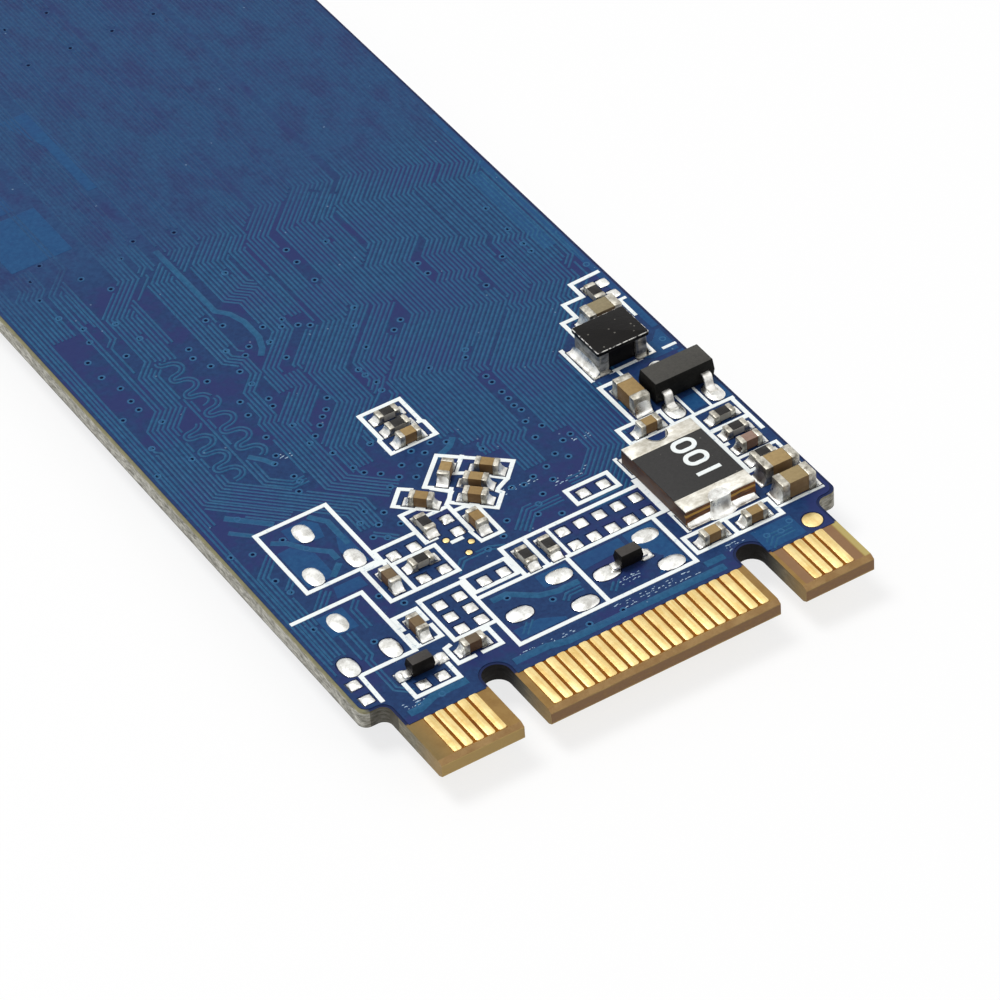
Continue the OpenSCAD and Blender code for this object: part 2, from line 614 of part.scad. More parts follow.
// Printed outlines of the upper face
module outlines_2d() {
    w = ink_w / grid;
    // Transistor positions without a transistor
    frame_line(-9.2, 11.05, -5.97, 15.1, w);
    stroke([[-10.6, 9.87], [-7.45, 9.87], [-7.45, 5.86], [-9.93, 5.86], [-9.97, 4.2]], w);
    frame_line(-4, 3.78, 0.12, 6.93, w);
    frame_line(0.12, 3.78, 4.15, 6.93, w);
    // Rows of chip positions
    frame_line(-1.72, 6.93, 4.84, 8.83, w);
    stroke([[-0.66, 6.93], [-0.66, 8.83]], w);
    stroke([[0.36, 6.93], [0.36, 8.83]], w * 0.8);
    frame_line(-3.84, 7.27, -1.88, 8.27, w);
    frame_line(-5.92, 5.45, -4, 8.12, w);
    frame_line(2.2, 9.27, 4.14, 10.2, w);
    frame_line(-6.77, 8.75, -5.64, 10.87, w);
    frame_line(-5.64, 8.75, -3.68, 10.54, w);
    stroke([[-5.86, 10.54], [-5.86, 11.6], [-3.86, 11.6]], w);
    stroke([[-3.42, 10.85], [-3.88, 10.85], [-3.88, 12.78], [-2.95, 12.78]], w);
    stroke([[-2.95, 12.18], [-2.05, 12.18], [-2.05, 10.4]], w);
    stroke([[-3.02, 10.27], [-2.6, 10.27]], w);
    stroke([[-2.05, 9.67], [-1.1, 9.67], [-1.1, 11.35], [-1.5, 11.78], [-2, 11.8]], w);
    stroke([[-2.05, 9.67], [-2.12, 10.4]], w * 0.8);
    for (s = [0, 1]) {
        stroke([[-7.25 + 1.05 * s, 7.08], [-7.25 + 1.05 * s, 7.84], [-6.72, 7.84]], w);
        stroke([[-7.25 + 1.05 * s, 6.72], [-7.25 + 1.05 * s, 5.97], [-6.72, 5.97]], w);
    }
    stroke([[-8.8, 4.5], [-8.8, 3.6], [-6.82, 3.6], [-6.82, 4.5]], w);
    stroke([[-5.76, 4.26], [-6.48, 4.26], [-6.48, 5.26], [-6.25, 5.32]], w);
    stroke([[-5.36, 4.26], [-4.52, 4.26], [-4.52, 5.28], [-4.8, 5.32]], w);
    // Turned group in the middle
    stroke([[-2.22, 13.68], [-0.82, 15.03], [1.5, 12.95], [0.75, 12.2]], w);
    stroke([[-2.22, 13.68], [-1.4, 12.98], [-1.9, 12.35], [-0.5, 10.95], [0.15, 11.6],
            [0.02, 11.85], [0.75, 12.2]], w);
    stroke([[-0.02, 14.4], [-0.78, 13.68], [-0.4, 13.42]], w);
    stroke([[0.26, 12.72], [0.75, 12.2]], w * 0.8);
    stroke([[-2.72, 13.85], [-3.1, 14.18], [-3.84, 13.44], [-2.86, 12.5], [-2.4, 12.18]], w);
    stroke([[-2.05, 13.44], [-1.48, 12.8], [-2.05, 12.3]], w * 0.8);
    // Three chips in a row
    frame_line(-2.11, 17.2, -0.21, 18.87, w);
    stroke([[-2.14, 17.2], [-2.22, 17.1], [-2.22, 16.17], [-0.12, 16.17], [-0.12, 17.1], [-0.2, 17.2]], w);
    // Right edge: fuse, chips, transistor and inductor
    stroke([[4.84, 10.62], [4.84, 9.35]], w);
    stroke([[4.8, 9.1], [4.8, 7.02]], w * 1.5);
    stroke([[4.86, 6.7], [4.86, 5.4]], w);
    frame_line(4.45, 4.13, 8.45, 5.16, w);
    stroke([[6.38, 4.13], [6.38, 5.16]], w);
    stroke([[8.78, 11.05], [8.78, 6.93], [9.05, 6.95]], w);
    stroke([[8.78, 9.78], [10.7, 9.78]], w * 1.2);
    stroke([[8.78, 8.8], [9.0, 8.8]], w);
    stroke([[8.78, 7.82], [10.66, 7.82], [10.66, 7.45]], w * 0.8);
    stroke([[10.7, 11.0], [10.7, 8.85]], w);
    stroke([[5.86, 11.05], [10.76, 11.05]], w * 0.9);
    stroke([[8.6, 4.53], [10.64, 4.53]], w * 0.8);
    stroke([[5.88, 11.05], [5.88, 12.05], [7.93, 12.05], [7.93, 11.05]], w);
    stroke([[6.72, 12.15], [6.72, 14.65], [7.36, 14.65]], w);
    for (x = [8.93, 9.8]) stroke([[x, 11.05], [x, 12.5]], w * 0.6);
    stroke([[7.6, 15.22], [9.1, 15.22]], w * 0.8);
    stroke([[10.22, 15.24], [10.76, 15.24]], w * 0.8);
    stroke([[7.9, 15.1], [7.9, 14.75]], w * 0.8);
    stroke([[6.72, 15.2], [6.72, 17.5]], w);
    stroke([[10.7, 20.92], [9.32, 20.86], [9.32, 19.92], [8.38, 19.92], [8.38, 18.95],
            [7.7, 18.95], [7.7, 17.7]], w);
    stroke([[10.7, 18.86], [10.45, 18.86], [10.45, 17.7]], w * 0.8);
}

module upper_legend() {
    color("#f2f4f2") top_sheet(mask_t, ink_t) difference() {
        laid_out() outlines_2d();
        upper_part_lands_2d(land_clear);
        bare_lands_2d(land_clear);
        gold_dots_2d(land_clear);
    }
}

// Corner ticks and a contact-one dot round an underside package
module package_ticks(at, w, l) {
    x = w / 2 + 0.35;
    y = l / 2 + 0.35;
    for (sx = [-1, 1], sy = [-1, 1])
        stroke([[at.x + sx * (x - 1), at.y + sy * y], [at.x + sx * x, at.y + sy * y],
                [at.x + sx * x, at.y + sy * (y - 1)]], ink_w);
    translate([at.x - x - 0.05, at.y - y - 0.6]) circle(0.25);
}

module lower_legend() {
    color("#f2f4f2") back_sheet(mask_t, ink_t) difference() {
        union() {
            package_ticks([0, ctrl_y], ctrl_s, ctrl_s);
            package_ticks([0, inner_flash_y], flash_w, flash_l);
            package_ticks([0, outer_flash_y], flash_w, flash_l);
            for (at = low_large_caps)
                frame_line(at.x - 1.25, at.y - 0.65, at.x + 1.25, at.y + 0.65, ink_w * 0.8);
            for (at = low_resistors)
                frame_line(at.x - 0.5, at.y - 1, at.x + 0.5, at.y + 1, ink_w * 0.8);
        }
        lower_part_lands_2d(land_clear);
    }
}

module small_capacitor_bodies() {
    color("#a98a5c") for (at = small_caps) on_top(at) chip_body(chip_l, chip_w, chip_cap_h, chip_band);
}
module small_capacitor_ends() {
    color("#cfcdc6") for (at = small_caps) on_top(at) chip_ends(chip_l, chip_w, chip_cap_h, chip_band);
}
module large_capacitor_bodies() {
    color("#b3945f") for (at = large_caps) on_top(at) chip_body(large_l, large_w, large_h, large_band);
}
module large_capacitor_ends() {
    color("#d4d2cb") for (at = large_caps) on_top(at) chip_ends(large_l, large_w, large_h, large_band);
}
module resistor_bodies() {
    color("#d9d8d2") for (at = resistors) on_top(at) chip_body(chip_l, chip_w, chip_res_h, chip_band);
}

// Dark glass coat on a resistor's upper face
module chip_coat() {
    translate([0, 0, chip_res_h - end_proud])
        bar_x(chip_l - 2 * chip_band, chip_w - 4 * end_proud, end_proud, 0.002);
}
module resistor_coats() {
    color("#2b2a2a") for (at = resistors) on_top(at) chip_coat();
}
module resistor_ends() {
    color("#d4d2cb") for (at = resistors) on_top(at) chip_ends(chip_l, chip_w, chip_res_h, chip_band);
}
module chip_solder() {
    color("#c9c9c6") {
        for (at = small_caps) on_top(at) solder_pair(chip_l, chip_w, chip_cap_h);
        for (at = resistors) on_top(at) solder_pair(chip_l, chip_w, chip_res_h);
        for (at = large_caps) on_top(at) solder_pair(large_l, large_w, large_h);
    }
}

// Outline of the fuse with a half-round groove in each end, long axis along Y
module fuse_2d(r) {
    difference() {
        square([fuse_w, fuse_l], center = true);
        for (s = [-1, 1]) translate([0, s * fuse_l / 2]) circle(r);
    }
}

module fuse_laminate() {
    color("#4a2c1c") on_top(fuse_at) translate([0, 0, foil_t])
        linear_extrude(fuse_h - 2 * foil_t) fuse_2d(groove_r + foil_t);
}

module fuse_coat() {
    color("#3a3a3c") on_top(fuse_at) translate([0, 0, fuse_h - foil_t]) linear_extrude(foil_t)
        square([fuse_w, fuse_l - 2 * fuse_band], center = true);
}

module fuse_foils() {
    color("#d6d5cf") on_top(fuse_at) for (s = [-1, 1]) {
        for (z = [0, fuse_h - foil_t]) translate([0, 0, z]) linear_extrude(foil_t)
            intersection() {
                fuse_2d(groove_r);
                translate([0, s * (fuse_l - fuse_band) / 2]) square([fuse_w, fuse_band], center = true);
            }
        translate([0, s * fuse_l / 2, 0]) linear_extrude(fuse_h) intersection() {
            difference() {
                circle(groove_r + foil_t);
                circle(groove_r);
            }
            translate([0, -s * fuse_l / 4]) square([fuse_w, fuse_l / 2], center = true);
        }
    }
}

// Plain digits that run along the fuse
module fuse_digits() {
    color("#f4f4f2") on_top(fuse_at) translate([fuse_w * 0.15, 0.14, fuse_h]) linear_extrude(ink_t) {
        for (i = [0, 1]) translate([0, i * digit_pitch]) difference() {
            rotate(90) oval(0.78, digit_h);
            rotate(90) oval(0.78 - 2 * digit_w, digit_h - 2 * digit_w);
        }
        translate([0, -digit_pitch]) square([digit_h, digit_w], center = true);
    }
}

// Solder along both ends, which fills the near groove and runs out at its foot
module fuse_solder() {
    color("#dcdcd8") on_top(fuse_at) {
        for (s = [-1, 1]) translate([0, s * (fuse_l + solder_out) / 2, 0]) linear_extrude(0.1)
            square([fuse_w * 0.96, solder_out], center = true);
        translate([0, -fuse_l / 2, 0]) {
            linear_extrude(fuse_h * 0.94) intersection() {
                circle(groove_r);
                translate([0, groove_r / 2 - 0.06]) square([2 * groove_r, groove_r + 0.12], center = true);
            }
            rotate([90, 0, -90]) linear_extrude(2.4 * groove_r, center = true)
                polygon([[0, 0], [solder_out, 0], [solder_out * 0.65, fuse_h * 0.2],
                         [solder_out * 0.4, fuse_h * 0.4], [0.06, fuse_h * 0.65], [0, fuse_h * 0.65]]);
        }
    }
}

module inductor_core() {
    color("#2e2c2c") on_top(coil_at) coil_core();
}
module inductor_plate() {
    color("#333234") on_top(coil_at) coil_plate();
}
module inductor_feet() {
    color("#bdbcb8") on_top(coil_at) coil_feet();
}
module inductor_solder() {
    color("#d2d2ce") on_top(coil_at) coil_solder();
}

module transistor_case() {
    color("#3b3b3b") on_top(tran_at) moulded_case(tran_l, tran_w, case_gap, tran_h);
}
module transistor_leads() {
    color("#d8d8d4") on_top(tran_at) three_leads();
}

module diode_cases() {
    color("#2c2b2b") for (d = diodes)
        on_top([d.x, d.y]) moulded_case(diode_l * d.z, diode_w * d.z, diode_gap, diode_h * d.z);
}
module diode_leads() {
    color("#d8d8d4") for (d = diodes) on_top([d.x, d.y]) difference() {
        for (s = [-1, 1]) translate([s * (diode_l * d.z / 2 + 0.1), 0, diode_gap])
            linear_extrude(lead_t) square([0.34, diode_w * d.z * 0.6], center = true);
        moulded_case(diode_l * d.z, diode_w * d.z, diode_gap, diode_h * d.z);
    }
}

module controller_case() {
    color("#2f2f31") on_balls([0, ctrl_y], ball_h) array_case(ctrl_s, ctrl_s, ctrl_h);
}
module controller_balls() {
    color("#c4c4c2") on_balls([0, ctrl_y], 0)
        ball_ring(floor(ctrl_s / ctrl_pitch) - 1, floor(ctrl_s / ctrl_pitch) - 1, ctrl_pitch, 2);
}
module flash_balls(y) {
    on_balls([0, y], 0)
        ball_ring(floor(flash_w / flash_pitch) - 1, floor(flash_l / flash_pitch) - 1, flash_pitch, 1.6);
}
module inner_flash_case() {
    color("#333335") on_balls([0, inner_flash_y], ball_h) array_case(flash_w, flash_l, flash_h);
}
module inner_flash_balls() {
    color("#c4c4c2") flash_balls(inner_flash_y);
}
module outer_flash_case() {
    color("#333335") on_balls([0, outer_flash_y], ball_h) array_case(flash_w, flash_l, flash_h);
}
module outer_flash_balls() {
    color("#c4c4c2") flash_balls(outer_flash_y);
}

module crystal_base() {
    color("#8d8a80") on_back(crystal_at) linear_extrude(crystal_h * 0.6)
        round_rect(crystal_w, crystal_l, 0.12);
}
module crystal_lid() {
    color("#cfd0d0") on_back(crystal_at) translate([0, 0, crystal_h * 0.6]) linear_extrude(crystal_h * 0.4)
        round_rect(crystal_w - 0.24, crystal_l - 0.24, 0.3);
}

module regulator_case() {
    color("#303031") on_back(reg_at) moulded_case(tran_l, tran_w, case_gap, tran_h);
}
module regulator_leads() {
    color("#d8d8d4") on_back(reg_at) three_leads();
}

module choke_core() {
    color("#2e2c2c") on_back([choke_at.x, choke_at.y, 90]) coil_core();
}
module choke_plate() {
    color("#333234") on_back([choke_at.x, choke_at.y, 90]) coil_plate();
}
module choke_feet() {
    color("#bdbcb8") on_back([choke_at.x, choke_at.y, 90]) coil_feet();
}

module lower_capacitor_bodies() {
    color("#a98a5c") for (at = low_small_caps) on_back(at) chip_body(chip_l, chip_w, chip_cap_h, chip_band);
}
module lower_capacitor_ends() {
    color("#cfcdc6") for (at = low_small_caps) on_back(at) chip_ends(chip_l, chip_w, chip_cap_h, chip_band);
}
module lower_large_bodies() {
    color("#b3945f") for (at = low_large_caps) on_back(at) chip_body(large_l, large_w, large_h, large_band);
}
module lower_large_ends() {
    color("#d4d2cb") for (at = low_large_caps) on_back(at) chip_ends(large_l, large_w, large_h, large_band);
}
module lower_resistor_bodies() {
    color("#d9d8d2") for (at = low_resistors) on_back(at) chip_body(chip_l, chip_w, chip_res_h, chip_band);
}
module lower_resistor_coats() {
    color("#2b2a2a") for (at = low_resistors) on_back(at) chip_coat();
}
module lower_resistor_ends() {
    color("#d4d2cb") for (at = low_resistors) on_back(at) chip_ends(chip_l, chip_w, chip_res_h, chip_band);
}
module lower_solder() {
    color("#c9c9c6") {
        for (at = low_small_caps) on_back(at) solder_pair(chip_l, chip_w, chip_cap_h);
        for (at = low_resistors) on_back(at) solder_pair(chip_l, chip_w, chip_res_h);
        for (at = low_large_caps) on_back(at) solder_pair(large_l, large_w, large_h);
        on_back([choke_at.x, choke_at.y, 90]) coil_solder();
    }
}

laminate();
upper_solder_mask();
lower_solder_mask();
upper_edge_contacts();
lower_edge_contacts();
screw_notch_plating();
gold_dots();
upper_legend();
lower_legend();
small_bare_lands();
oval_bare_lands();
upper_part_lands();
lower_part_lands();
small_capacitor_bodies();
small_capacitor_ends();
large_capacitor_bodies();
large_capacitor_ends();
resistor_bodies();
resistor_coats();
resistor_ends();
chip_solder();
fuse_laminate();
fuse_coat();
fuse_foils();
fuse_digits();
fuse_solder();
inductor_core();
inductor_plate();
inductor_feet();
inductor_solder();
transistor_case();
transistor_leads();
diode_cases();
diode_leads();
controller_case();
controller_balls();
inner_flash_case();
inner_flash_balls();
outer_flash_case();
outer_flash_balls();
crystal_base();
crystal_lid();
regulator_case();
regulator_leads();
choke_core();
choke_plate();
choke_feet();
lower_capacitor_bodies();
lower_capacitor_ends();
lower_large_bodies();
lower_large_ends();
lower_resistor_bodies();
lower_resistor_coats();
lower_resistor_ends();
lower_solder();
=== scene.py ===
import math
import random

import bmesh
import bpy
from mathutils import Matrix, Vector
from mathutils.bvhtree import BVHTree


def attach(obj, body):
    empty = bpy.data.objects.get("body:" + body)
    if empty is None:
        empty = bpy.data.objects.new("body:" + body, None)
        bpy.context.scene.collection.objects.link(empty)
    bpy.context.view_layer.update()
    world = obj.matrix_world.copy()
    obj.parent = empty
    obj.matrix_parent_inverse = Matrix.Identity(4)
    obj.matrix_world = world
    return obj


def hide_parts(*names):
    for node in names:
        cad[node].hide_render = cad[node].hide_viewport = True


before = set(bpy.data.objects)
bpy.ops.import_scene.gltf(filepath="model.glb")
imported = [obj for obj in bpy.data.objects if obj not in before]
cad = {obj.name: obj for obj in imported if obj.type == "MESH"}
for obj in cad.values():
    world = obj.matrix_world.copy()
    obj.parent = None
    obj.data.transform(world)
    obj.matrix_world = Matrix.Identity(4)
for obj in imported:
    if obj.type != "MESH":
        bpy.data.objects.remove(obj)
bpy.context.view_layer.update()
dice = random.Random(11)

MM = 0.001
PER_MM = 1000.0

# The contact edge, the laminate's two faces, and the thickness of mask and of lands
FRONT = -40.0
LOW = 1.23
UP = 2.03
SKIN = 0.03
LAND = 0.05

# Places on the upper face: x from the centre line, y from the contact edge, turn
SMALL_CAPS = [
    (-6.24, 9.7, 90), (-1.66, 10.6, 90), (-1.13, 13.8, 45), (0.38, 13.08, -45),
    (-0.45, 12.6, -45), (-0.93, 11.87, -45), (-2.82, 12.9, -45), (-1.21, 16.5, 0),
    (-6.79, 6.76, 90), (-5.55, 4.7, 0), (6.95, 11.38, 0), (5.38, 4.5, 0),
    (7.37, 4.5, 0), (9.67, 8.24, 0),
]
LARGE_CAPS = [(7.33, 13.22, 90), (9.68, 6.26, 0), (9.63, 5.03, 0), (9.13, 18.22, 0)]
RESISTORS = [
    (-4.7, 9.91, 0), (-3.44, 11.66, 90), (-1.19, 18.2, 0), (-1.2, 17.35, 0),
    (-1.22, 7.72, 90), (-0.17, 7.72, 90), (9.76, 10.29, 0), (9.7, 9.24, 0),
    (9.69, 7.32, 0), (9.75, 19.65, 90),
]
FOOTPRINTS = [(-7.56, 12.95, 0), (-9.1, 7.73, 0), (-1.88, 5.24, 90), (2.14, 5.24, 90)]
BARE_LANDS = [
    (-5.05, 9.15), (-4.1, 9.15), (-5.33, 10.93), (-4.4, 10.93), (-2.5, 11.55), (-2.5, 10.7),
    (-3.2, 7.65), (-2.3, 7.65), (2.73, 9.7), (3.68, 9.7), (-10.4, 5.55), (-10.4, 4.6),
    (-8.2, 4.05), (-7.35, 4.05), (10.48, 20.2), (10.48, 19.35),
]
BARE_LANDS += [(0.83 + 0.86 * i, 7.32 + 0.95 * j) for i in range(5) for j in range(2)]
BARE_LANDS += [(-5.35 + 0.9 * i, 5.86 + 0.8 * j) for i in range(2) for j in range(3)]
GOLD_DOTS = [(-3.17, 10.52), (-2.38, 9.9), (-2.8, 9.4)]
FIDUCIAL = (9.18, 3.13)
FUSE = (6.57, 7.97)
COIL = (8.33, 16.26)
TRANSISTOR = (9.37, 12.98)
DIODES = [(-7.92, 4.72), (1.92, 5.2)]
DIODE_LANDS = [(-8.66, 4.9), (-6.9, 4.9), (2.72, 5.24)]

# Places on the underside
CTRL = 12.0
CTRL_Y = 19.5
INNER_Y = 44.25
OUTER_Y = 64.75
LOW_CAPS = [(-7 + 2 * i, CTRL_Y + CTRL / 2 + 1.2, 90) for i in range(8)]
LOW_CAPS += [(s * (CTRL / 2 + 1.3), CTRL_Y + 0.6 + 1.5 * j, 0) for s in (-1, 1) for j in range(3)]
LOW_LARGE = [(-5.2 + 2.6 * i, CTRL_Y - CTRL / 2 - 1.4, 0) for i in range(4)]
LOW_RESISTORS = [(-8.6 + 1.5 * i, CTRL_Y - CTRL / 2 - 4.1, 90) for i in range(6)]
CHOKE = (-CTRL / 2 - 2.5, CTRL_Y - 2.8)
REGULATOR = (6.6, CTRL_Y - CTRL / 2 - 4.8)

# Chip sizes: length, width, height, metal end
CAP = (1.0, 0.5, 0.5, 0.24)
LARGE = (1.6, 0.8, 0.8, 0.36)
RESISTOR = (1.0, 0.5, 0.35, 0.24)

# How far a chip's metal end stands out from its body, and the solder from its end
PROUD = 0.015
SOLDER_OUT = 0.26

# Lands: width, length and rounding, and the places of the oval ones of a three-lead part
SQUARE = (0.5, 0.5, 0.07)
OVAL = (0.76, 1.16, 0.24)
LEAD_PITCH = 0.95
LEAD_REACH = 1.2
OVAL_PLACES = [(0, LEAD_REACH), (-LEAD_PITCH, -LEAD_REACH), (LEAD_PITCH, -LEAD_REACH)]

# Inductor sizes, with its feet and core set in under the plate
COIL_L, COIL_W, COIL_H, COIL_UNDER = 2.5, 2.0, 1.2, 1.0
FOOT_L, FOOT_INSET, FOOT_WET, CORE_INSET = 0.55, 0.06, 0.46, 0.22


# Node helpers

def tone(red, green, blue):
    """A colour written as it shows on screen, made linear."""
    out = []
    for part in (red, green, blue):
        part /= 255
        out.append(part / 12.92 if part <= 0.04045 else ((part + 0.055) / 1.055) ** 2.4)
    return (*out, 1.0)


def feed(tree, source, socket):
    if isinstance(source, bpy.types.NodeSocket):
        tree.links.new(source, socket)
    else:
        socket.default_value = source


def add(tree, kind, inputs=None, **settings):
    made = tree.nodes.new("ShaderNode" + kind)
    for key, value in settings.items():
        setattr(made, key, value)
    for key, value in (inputs or {}).items():
        feed(tree, value, made.inputs[key])
    return made


def mixed(tree, share, first, second):
    made = add(tree, "Mix", data_type="RGBA")
    feed(tree, share, made.inputs[0])
    feed(tree, first, made.inputs[6])
    feed(tree, second, made.inputs[7])
    return made.outputs[2]


def maths(tree, operation, first, second=0.0, clamp=False):
    return add(tree, "Math", {0: first, 1: second}, operation=operation, use_clamp=clamp).outputs[0]


def times(tree, first, second):
    return maths(tree, "MULTIPLY", first, second)


def larger(tree, first, second):
    return maths(tree, "MAXIMUM", first, second)


def span(tree, value, low, high, to_low=0.0, to_high=1.0):
    return add(tree, "MapRange", {0: value, 1: low, 2: high, 3: to_low, 4: to_high}).outputs[0]


def past(tree, value, low, high, most=1.0):
    """Rises from nothing at one place to most at another, both places in millimetres."""
    return span(tree, value, low * MM, high * MM, 0.0, most)


def within(tree, value, middle, reach):
    """One where a value lies close to a middle, else nothing, with both in millimetres."""
    made = add(tree, "Math", {0: value, 1: middle * MM, 2: reach * MM}, operation="COMPARE")
    return made.outputs[0]


def facing(tree, axis, low, high):
    """One on faces that look along an axis, either way, and nothing on the others."""
    normal = add(tree, "SeparateXYZ", {0: add(tree, "NewGeometry").outputs["Normal"]}).outputs
    return span(tree, maths(tree, "ABSOLUTE", normal[axis]), low, high)


def seen_directly(tree):
    """One for rays that show a surface to the camera, straight or in a shiny face."""
    path = add(tree, "LightPath").outputs
    through = larger(tree, path["Is Glossy Ray"], path["Is Transmission Ray"])
    return larger(tree, path["Is Camera Ray"], through)


def noise(tree, where, scale, detail=3.0, roughness=0.55):
    inputs = {"Vector": where, "Scale": scale, "Detail": detail, "Roughness": roughness}
    return add(tree, "TexNoise", inputs).outputs["Fac"]


def stretched(tree, where, x, y, z):
    return add(tree, "Mapping", {"Vector": where, "Scale": (x, y, z)}).outputs[0]


def new_group(name, inputs, outputs):
    """An empty node group with named sockets, and its two end nodes."""
    tree = bpy.data.node_groups.new(name, "ShaderNodeTree")
    for label, kind in inputs:
        tree.interface.new_socket(name=label, in_out="INPUT", socket_type="NodeSocket" + kind)
    for label, kind in outputs:
        tree.interface.new_socket(name=label, in_out="OUTPUT", socket_type="NodeSocket" + kind)
    return tree, tree.nodes.new("NodeGroupInput").outputs, tree.nodes.new("NodeGroupOutput").inputs


def mottle_group():
    """Cloudy variation at one size with finer grain on it."""
    tree, given, out = new_group(
        "mottle", [("Vector", "Vector"), ("Scale", "Float"), ("Contrast", "Float")], [("Value", "Float")])
    cloud = noise(tree, given["Vector"], given["Scale"], 2.0)
    grain = noise(tree, given["Vector"], times(tree, given["Scale"], 7.0), 2.0)
    both = maths(tree, "ADD", times(tree, cloud, 0.7), times(tree, grain, 0.3))
    apart = times(tree, maths(tree, "SUBTRACT", both, 0.5), given["Contrast"])
    feed(tree, maths(tree, "ADD", apart, 0.5, True), out["Value"])
    return tree


def speck_group():
    """Small separate specks, such as dust, flux and pits."""
    tree, given, out = new_group(
        "specks", [("Vector", "Vector"), ("Scale", "Float"), ("Size", "Float")], [("Mask", "Float")])
    cells = add(tree, "TexVoronoi", {"Vector": given["Vector"], "Scale": given["Scale"]})
    few = noise(tree, given["Vector"], times(tree, given["Scale"], 0.31), 1.0)
    near = maths(tree, "LESS_THAN", cells.outputs["Distance"], given["Size"])
    feed(tree, times(tree, near, maths(tree, "GREATER_THAN", few, 0.56)), out["Mask"])
    return tree


MOTTLE = mottle_group()
SPECKS = speck_group()


def mottle(tree, where, scale, contrast=1.6):
    made = add(tree, "Group", node_tree=MOTTLE)
    feed(tree, where, made.inputs["Vector"])
    made.inputs["Scale"].default_value = scale * PER_MM
    made.inputs["Contrast"].default_value = contrast
    return made.outputs["Value"]


def specks(tree, where, scale, size):
    made = add(tree, "Group", node_tree=SPECKS)
    feed(tree, where, made.inputs["Vector"])
    made.inputs["Scale"].default_value = scale * PER_MM
    made.inputs["Size"].default_value = size
    return made.outputs["Mask"]


def start(name, **plain):
    """A material with its shader, and the object coordinates to pattern it with."""
    made = bpy.data.materials.new(name)
    made.use_nodes = True
    tree = made.node_tree
    tree.nodes.clear()
    shader = add(tree, "BsdfPrincipled")
    out = add(tree, "OutputMaterial")
    tree.links.new(shader.outputs[0], out.inputs["Surface"])
    for key, value in plain.items():
        shader.inputs[key.replace("_", " ")].default_value = value
    where = add(tree, "TexCoord").outputs["Object"]
    return made, tree, shader.inputs, where


def bumped(tree, shader, height, distance, strength=1.0):
    made = add(tree, "Bump", {"Height": height, "Distance": distance * MM, "Strength": strength})
    tree.links.new(made.outputs[0], shader["Normal"])


# Materials

FAR_COPPER = (FRONT + 31.5, FRONT + 34.5)


def far_copper(tree, where):
    """How far the inner copper shows beyond the long bundles, and where it is ragged."""
    axes = add(tree, "SeparateXYZ", {0: where}).outputs
    begins = past(tree, axes["Y"], *FAR_COPPER)
    ragged = noise(tree, stretched(tree, where, 620, 360, 0), 1.0, 6.0, 0.72)
    return begins, span(tree, ragged, 0.4, 0.54)


def mask_material(name, deep, light, stain, spread, plane=0.8):
    """Solder mask: a coloured glassy coat, stained in patches and lighter over far copper."""
    made, tree, shader, where = start(name, Specular_IOR_Level=0.12)
    cloud = mottle(tree, where, 0.35, 3.0)
    fine = mottle(tree, where, 6.0, 2.6)
    base = mixed(tree, fine, deep, light)
    base = mixed(tree, times(tree, span(tree, cloud, 0.45, 0.75), spread), base, stain)
    begins, patch = far_copper(tree, where)
    covered = mixed(tree, fine, tone(28, 60, 103), tone(42, 78, 118))
    bare = mixed(tree, fine, tone(32, 46, 92), tone(43, 62, 106))
    far = mixed(tree, patch, bare, covered)
    base = mixed(tree, times(tree, begins, plane), base, far)
    dust = times(tree, specks(tree, where, 1.4, 0.06), 0.35)
    base = mixed(tree, dust, base, tone(150, 175, 200))
    feed(tree, base, shader["Base Color"])
    feed(tree, span(tree, fine, 0.0, 1.0, 0.34, 0.5), shader["Roughness"])
    bumped(tree, shader, noise(tree, where, 3.2 * PER_MM, 2.0), 0.012)
    return made


# Places on the laminate: the three groups of contacts and the two key notches, each as
# its middle and half its width, and the middle of the laminate's thickness
CONTACT_GROUPS = [(-8.0, 1.2), (0.25, 4.95), (8.25, 0.95)]
NOTCHES = [(-5.625, 0.66), (6.125, 0.66)]
LAMINATE_MIDDLE = (LOW + UP) / 2


def long_edge(tree, axes, level, yarn):
    """Long edges and flanks: grey broken fibre, olive and then brown on the tongues."""
    side = mixed(tree, span(tree, yarn, 0.36, 0.64), tone(108, 106, 96), tone(204, 202, 192))
    side = mixed(tree, past(tree, level, 1.92, 1.97, 0.6), side, tone(138, 130, 82))
    side = mixed(tree, past(tree, level, 1.33, 1.26, 0.6), side, tone(92, 90, 84))
    flank = past(tree, axes["Y"], -35.8, -36.4, 0.7)
    side = mixed(tree, flank, side, mixed(tree, yarn, tone(70, 64, 46), tone(118, 108, 78)))
    return mixed(tree, past(tree, axes["Y"], -38.0, -39.7, 0.7), side, tone(166, 134, 80))


def front_edge(tree, axes, level, yarn, blotch):
    """Front edges: brown cloth between paler resin above and below."""
    off_middle = maths(tree, "ABSOLUTE", maths(tree, "SUBTRACT", level, LAMINATE_MIDDLE * MM))
    resin = mixed(tree, blotch, tone(166, 134, 76), tone(194, 168, 104))
    front = mixed(tree, past(tree, off_middle, 0.21, 0.3), tone(128, 98, 70), resin)
    front = mixed(tree, span(tree, yarn, 0.5, 0.7, 0.0, 0.6), front, tone(146, 116, 72))
    return mixed(tree, past(tree, axes["X"], -5.5, -6.5, 0.55), front, tone(194, 166, 100))


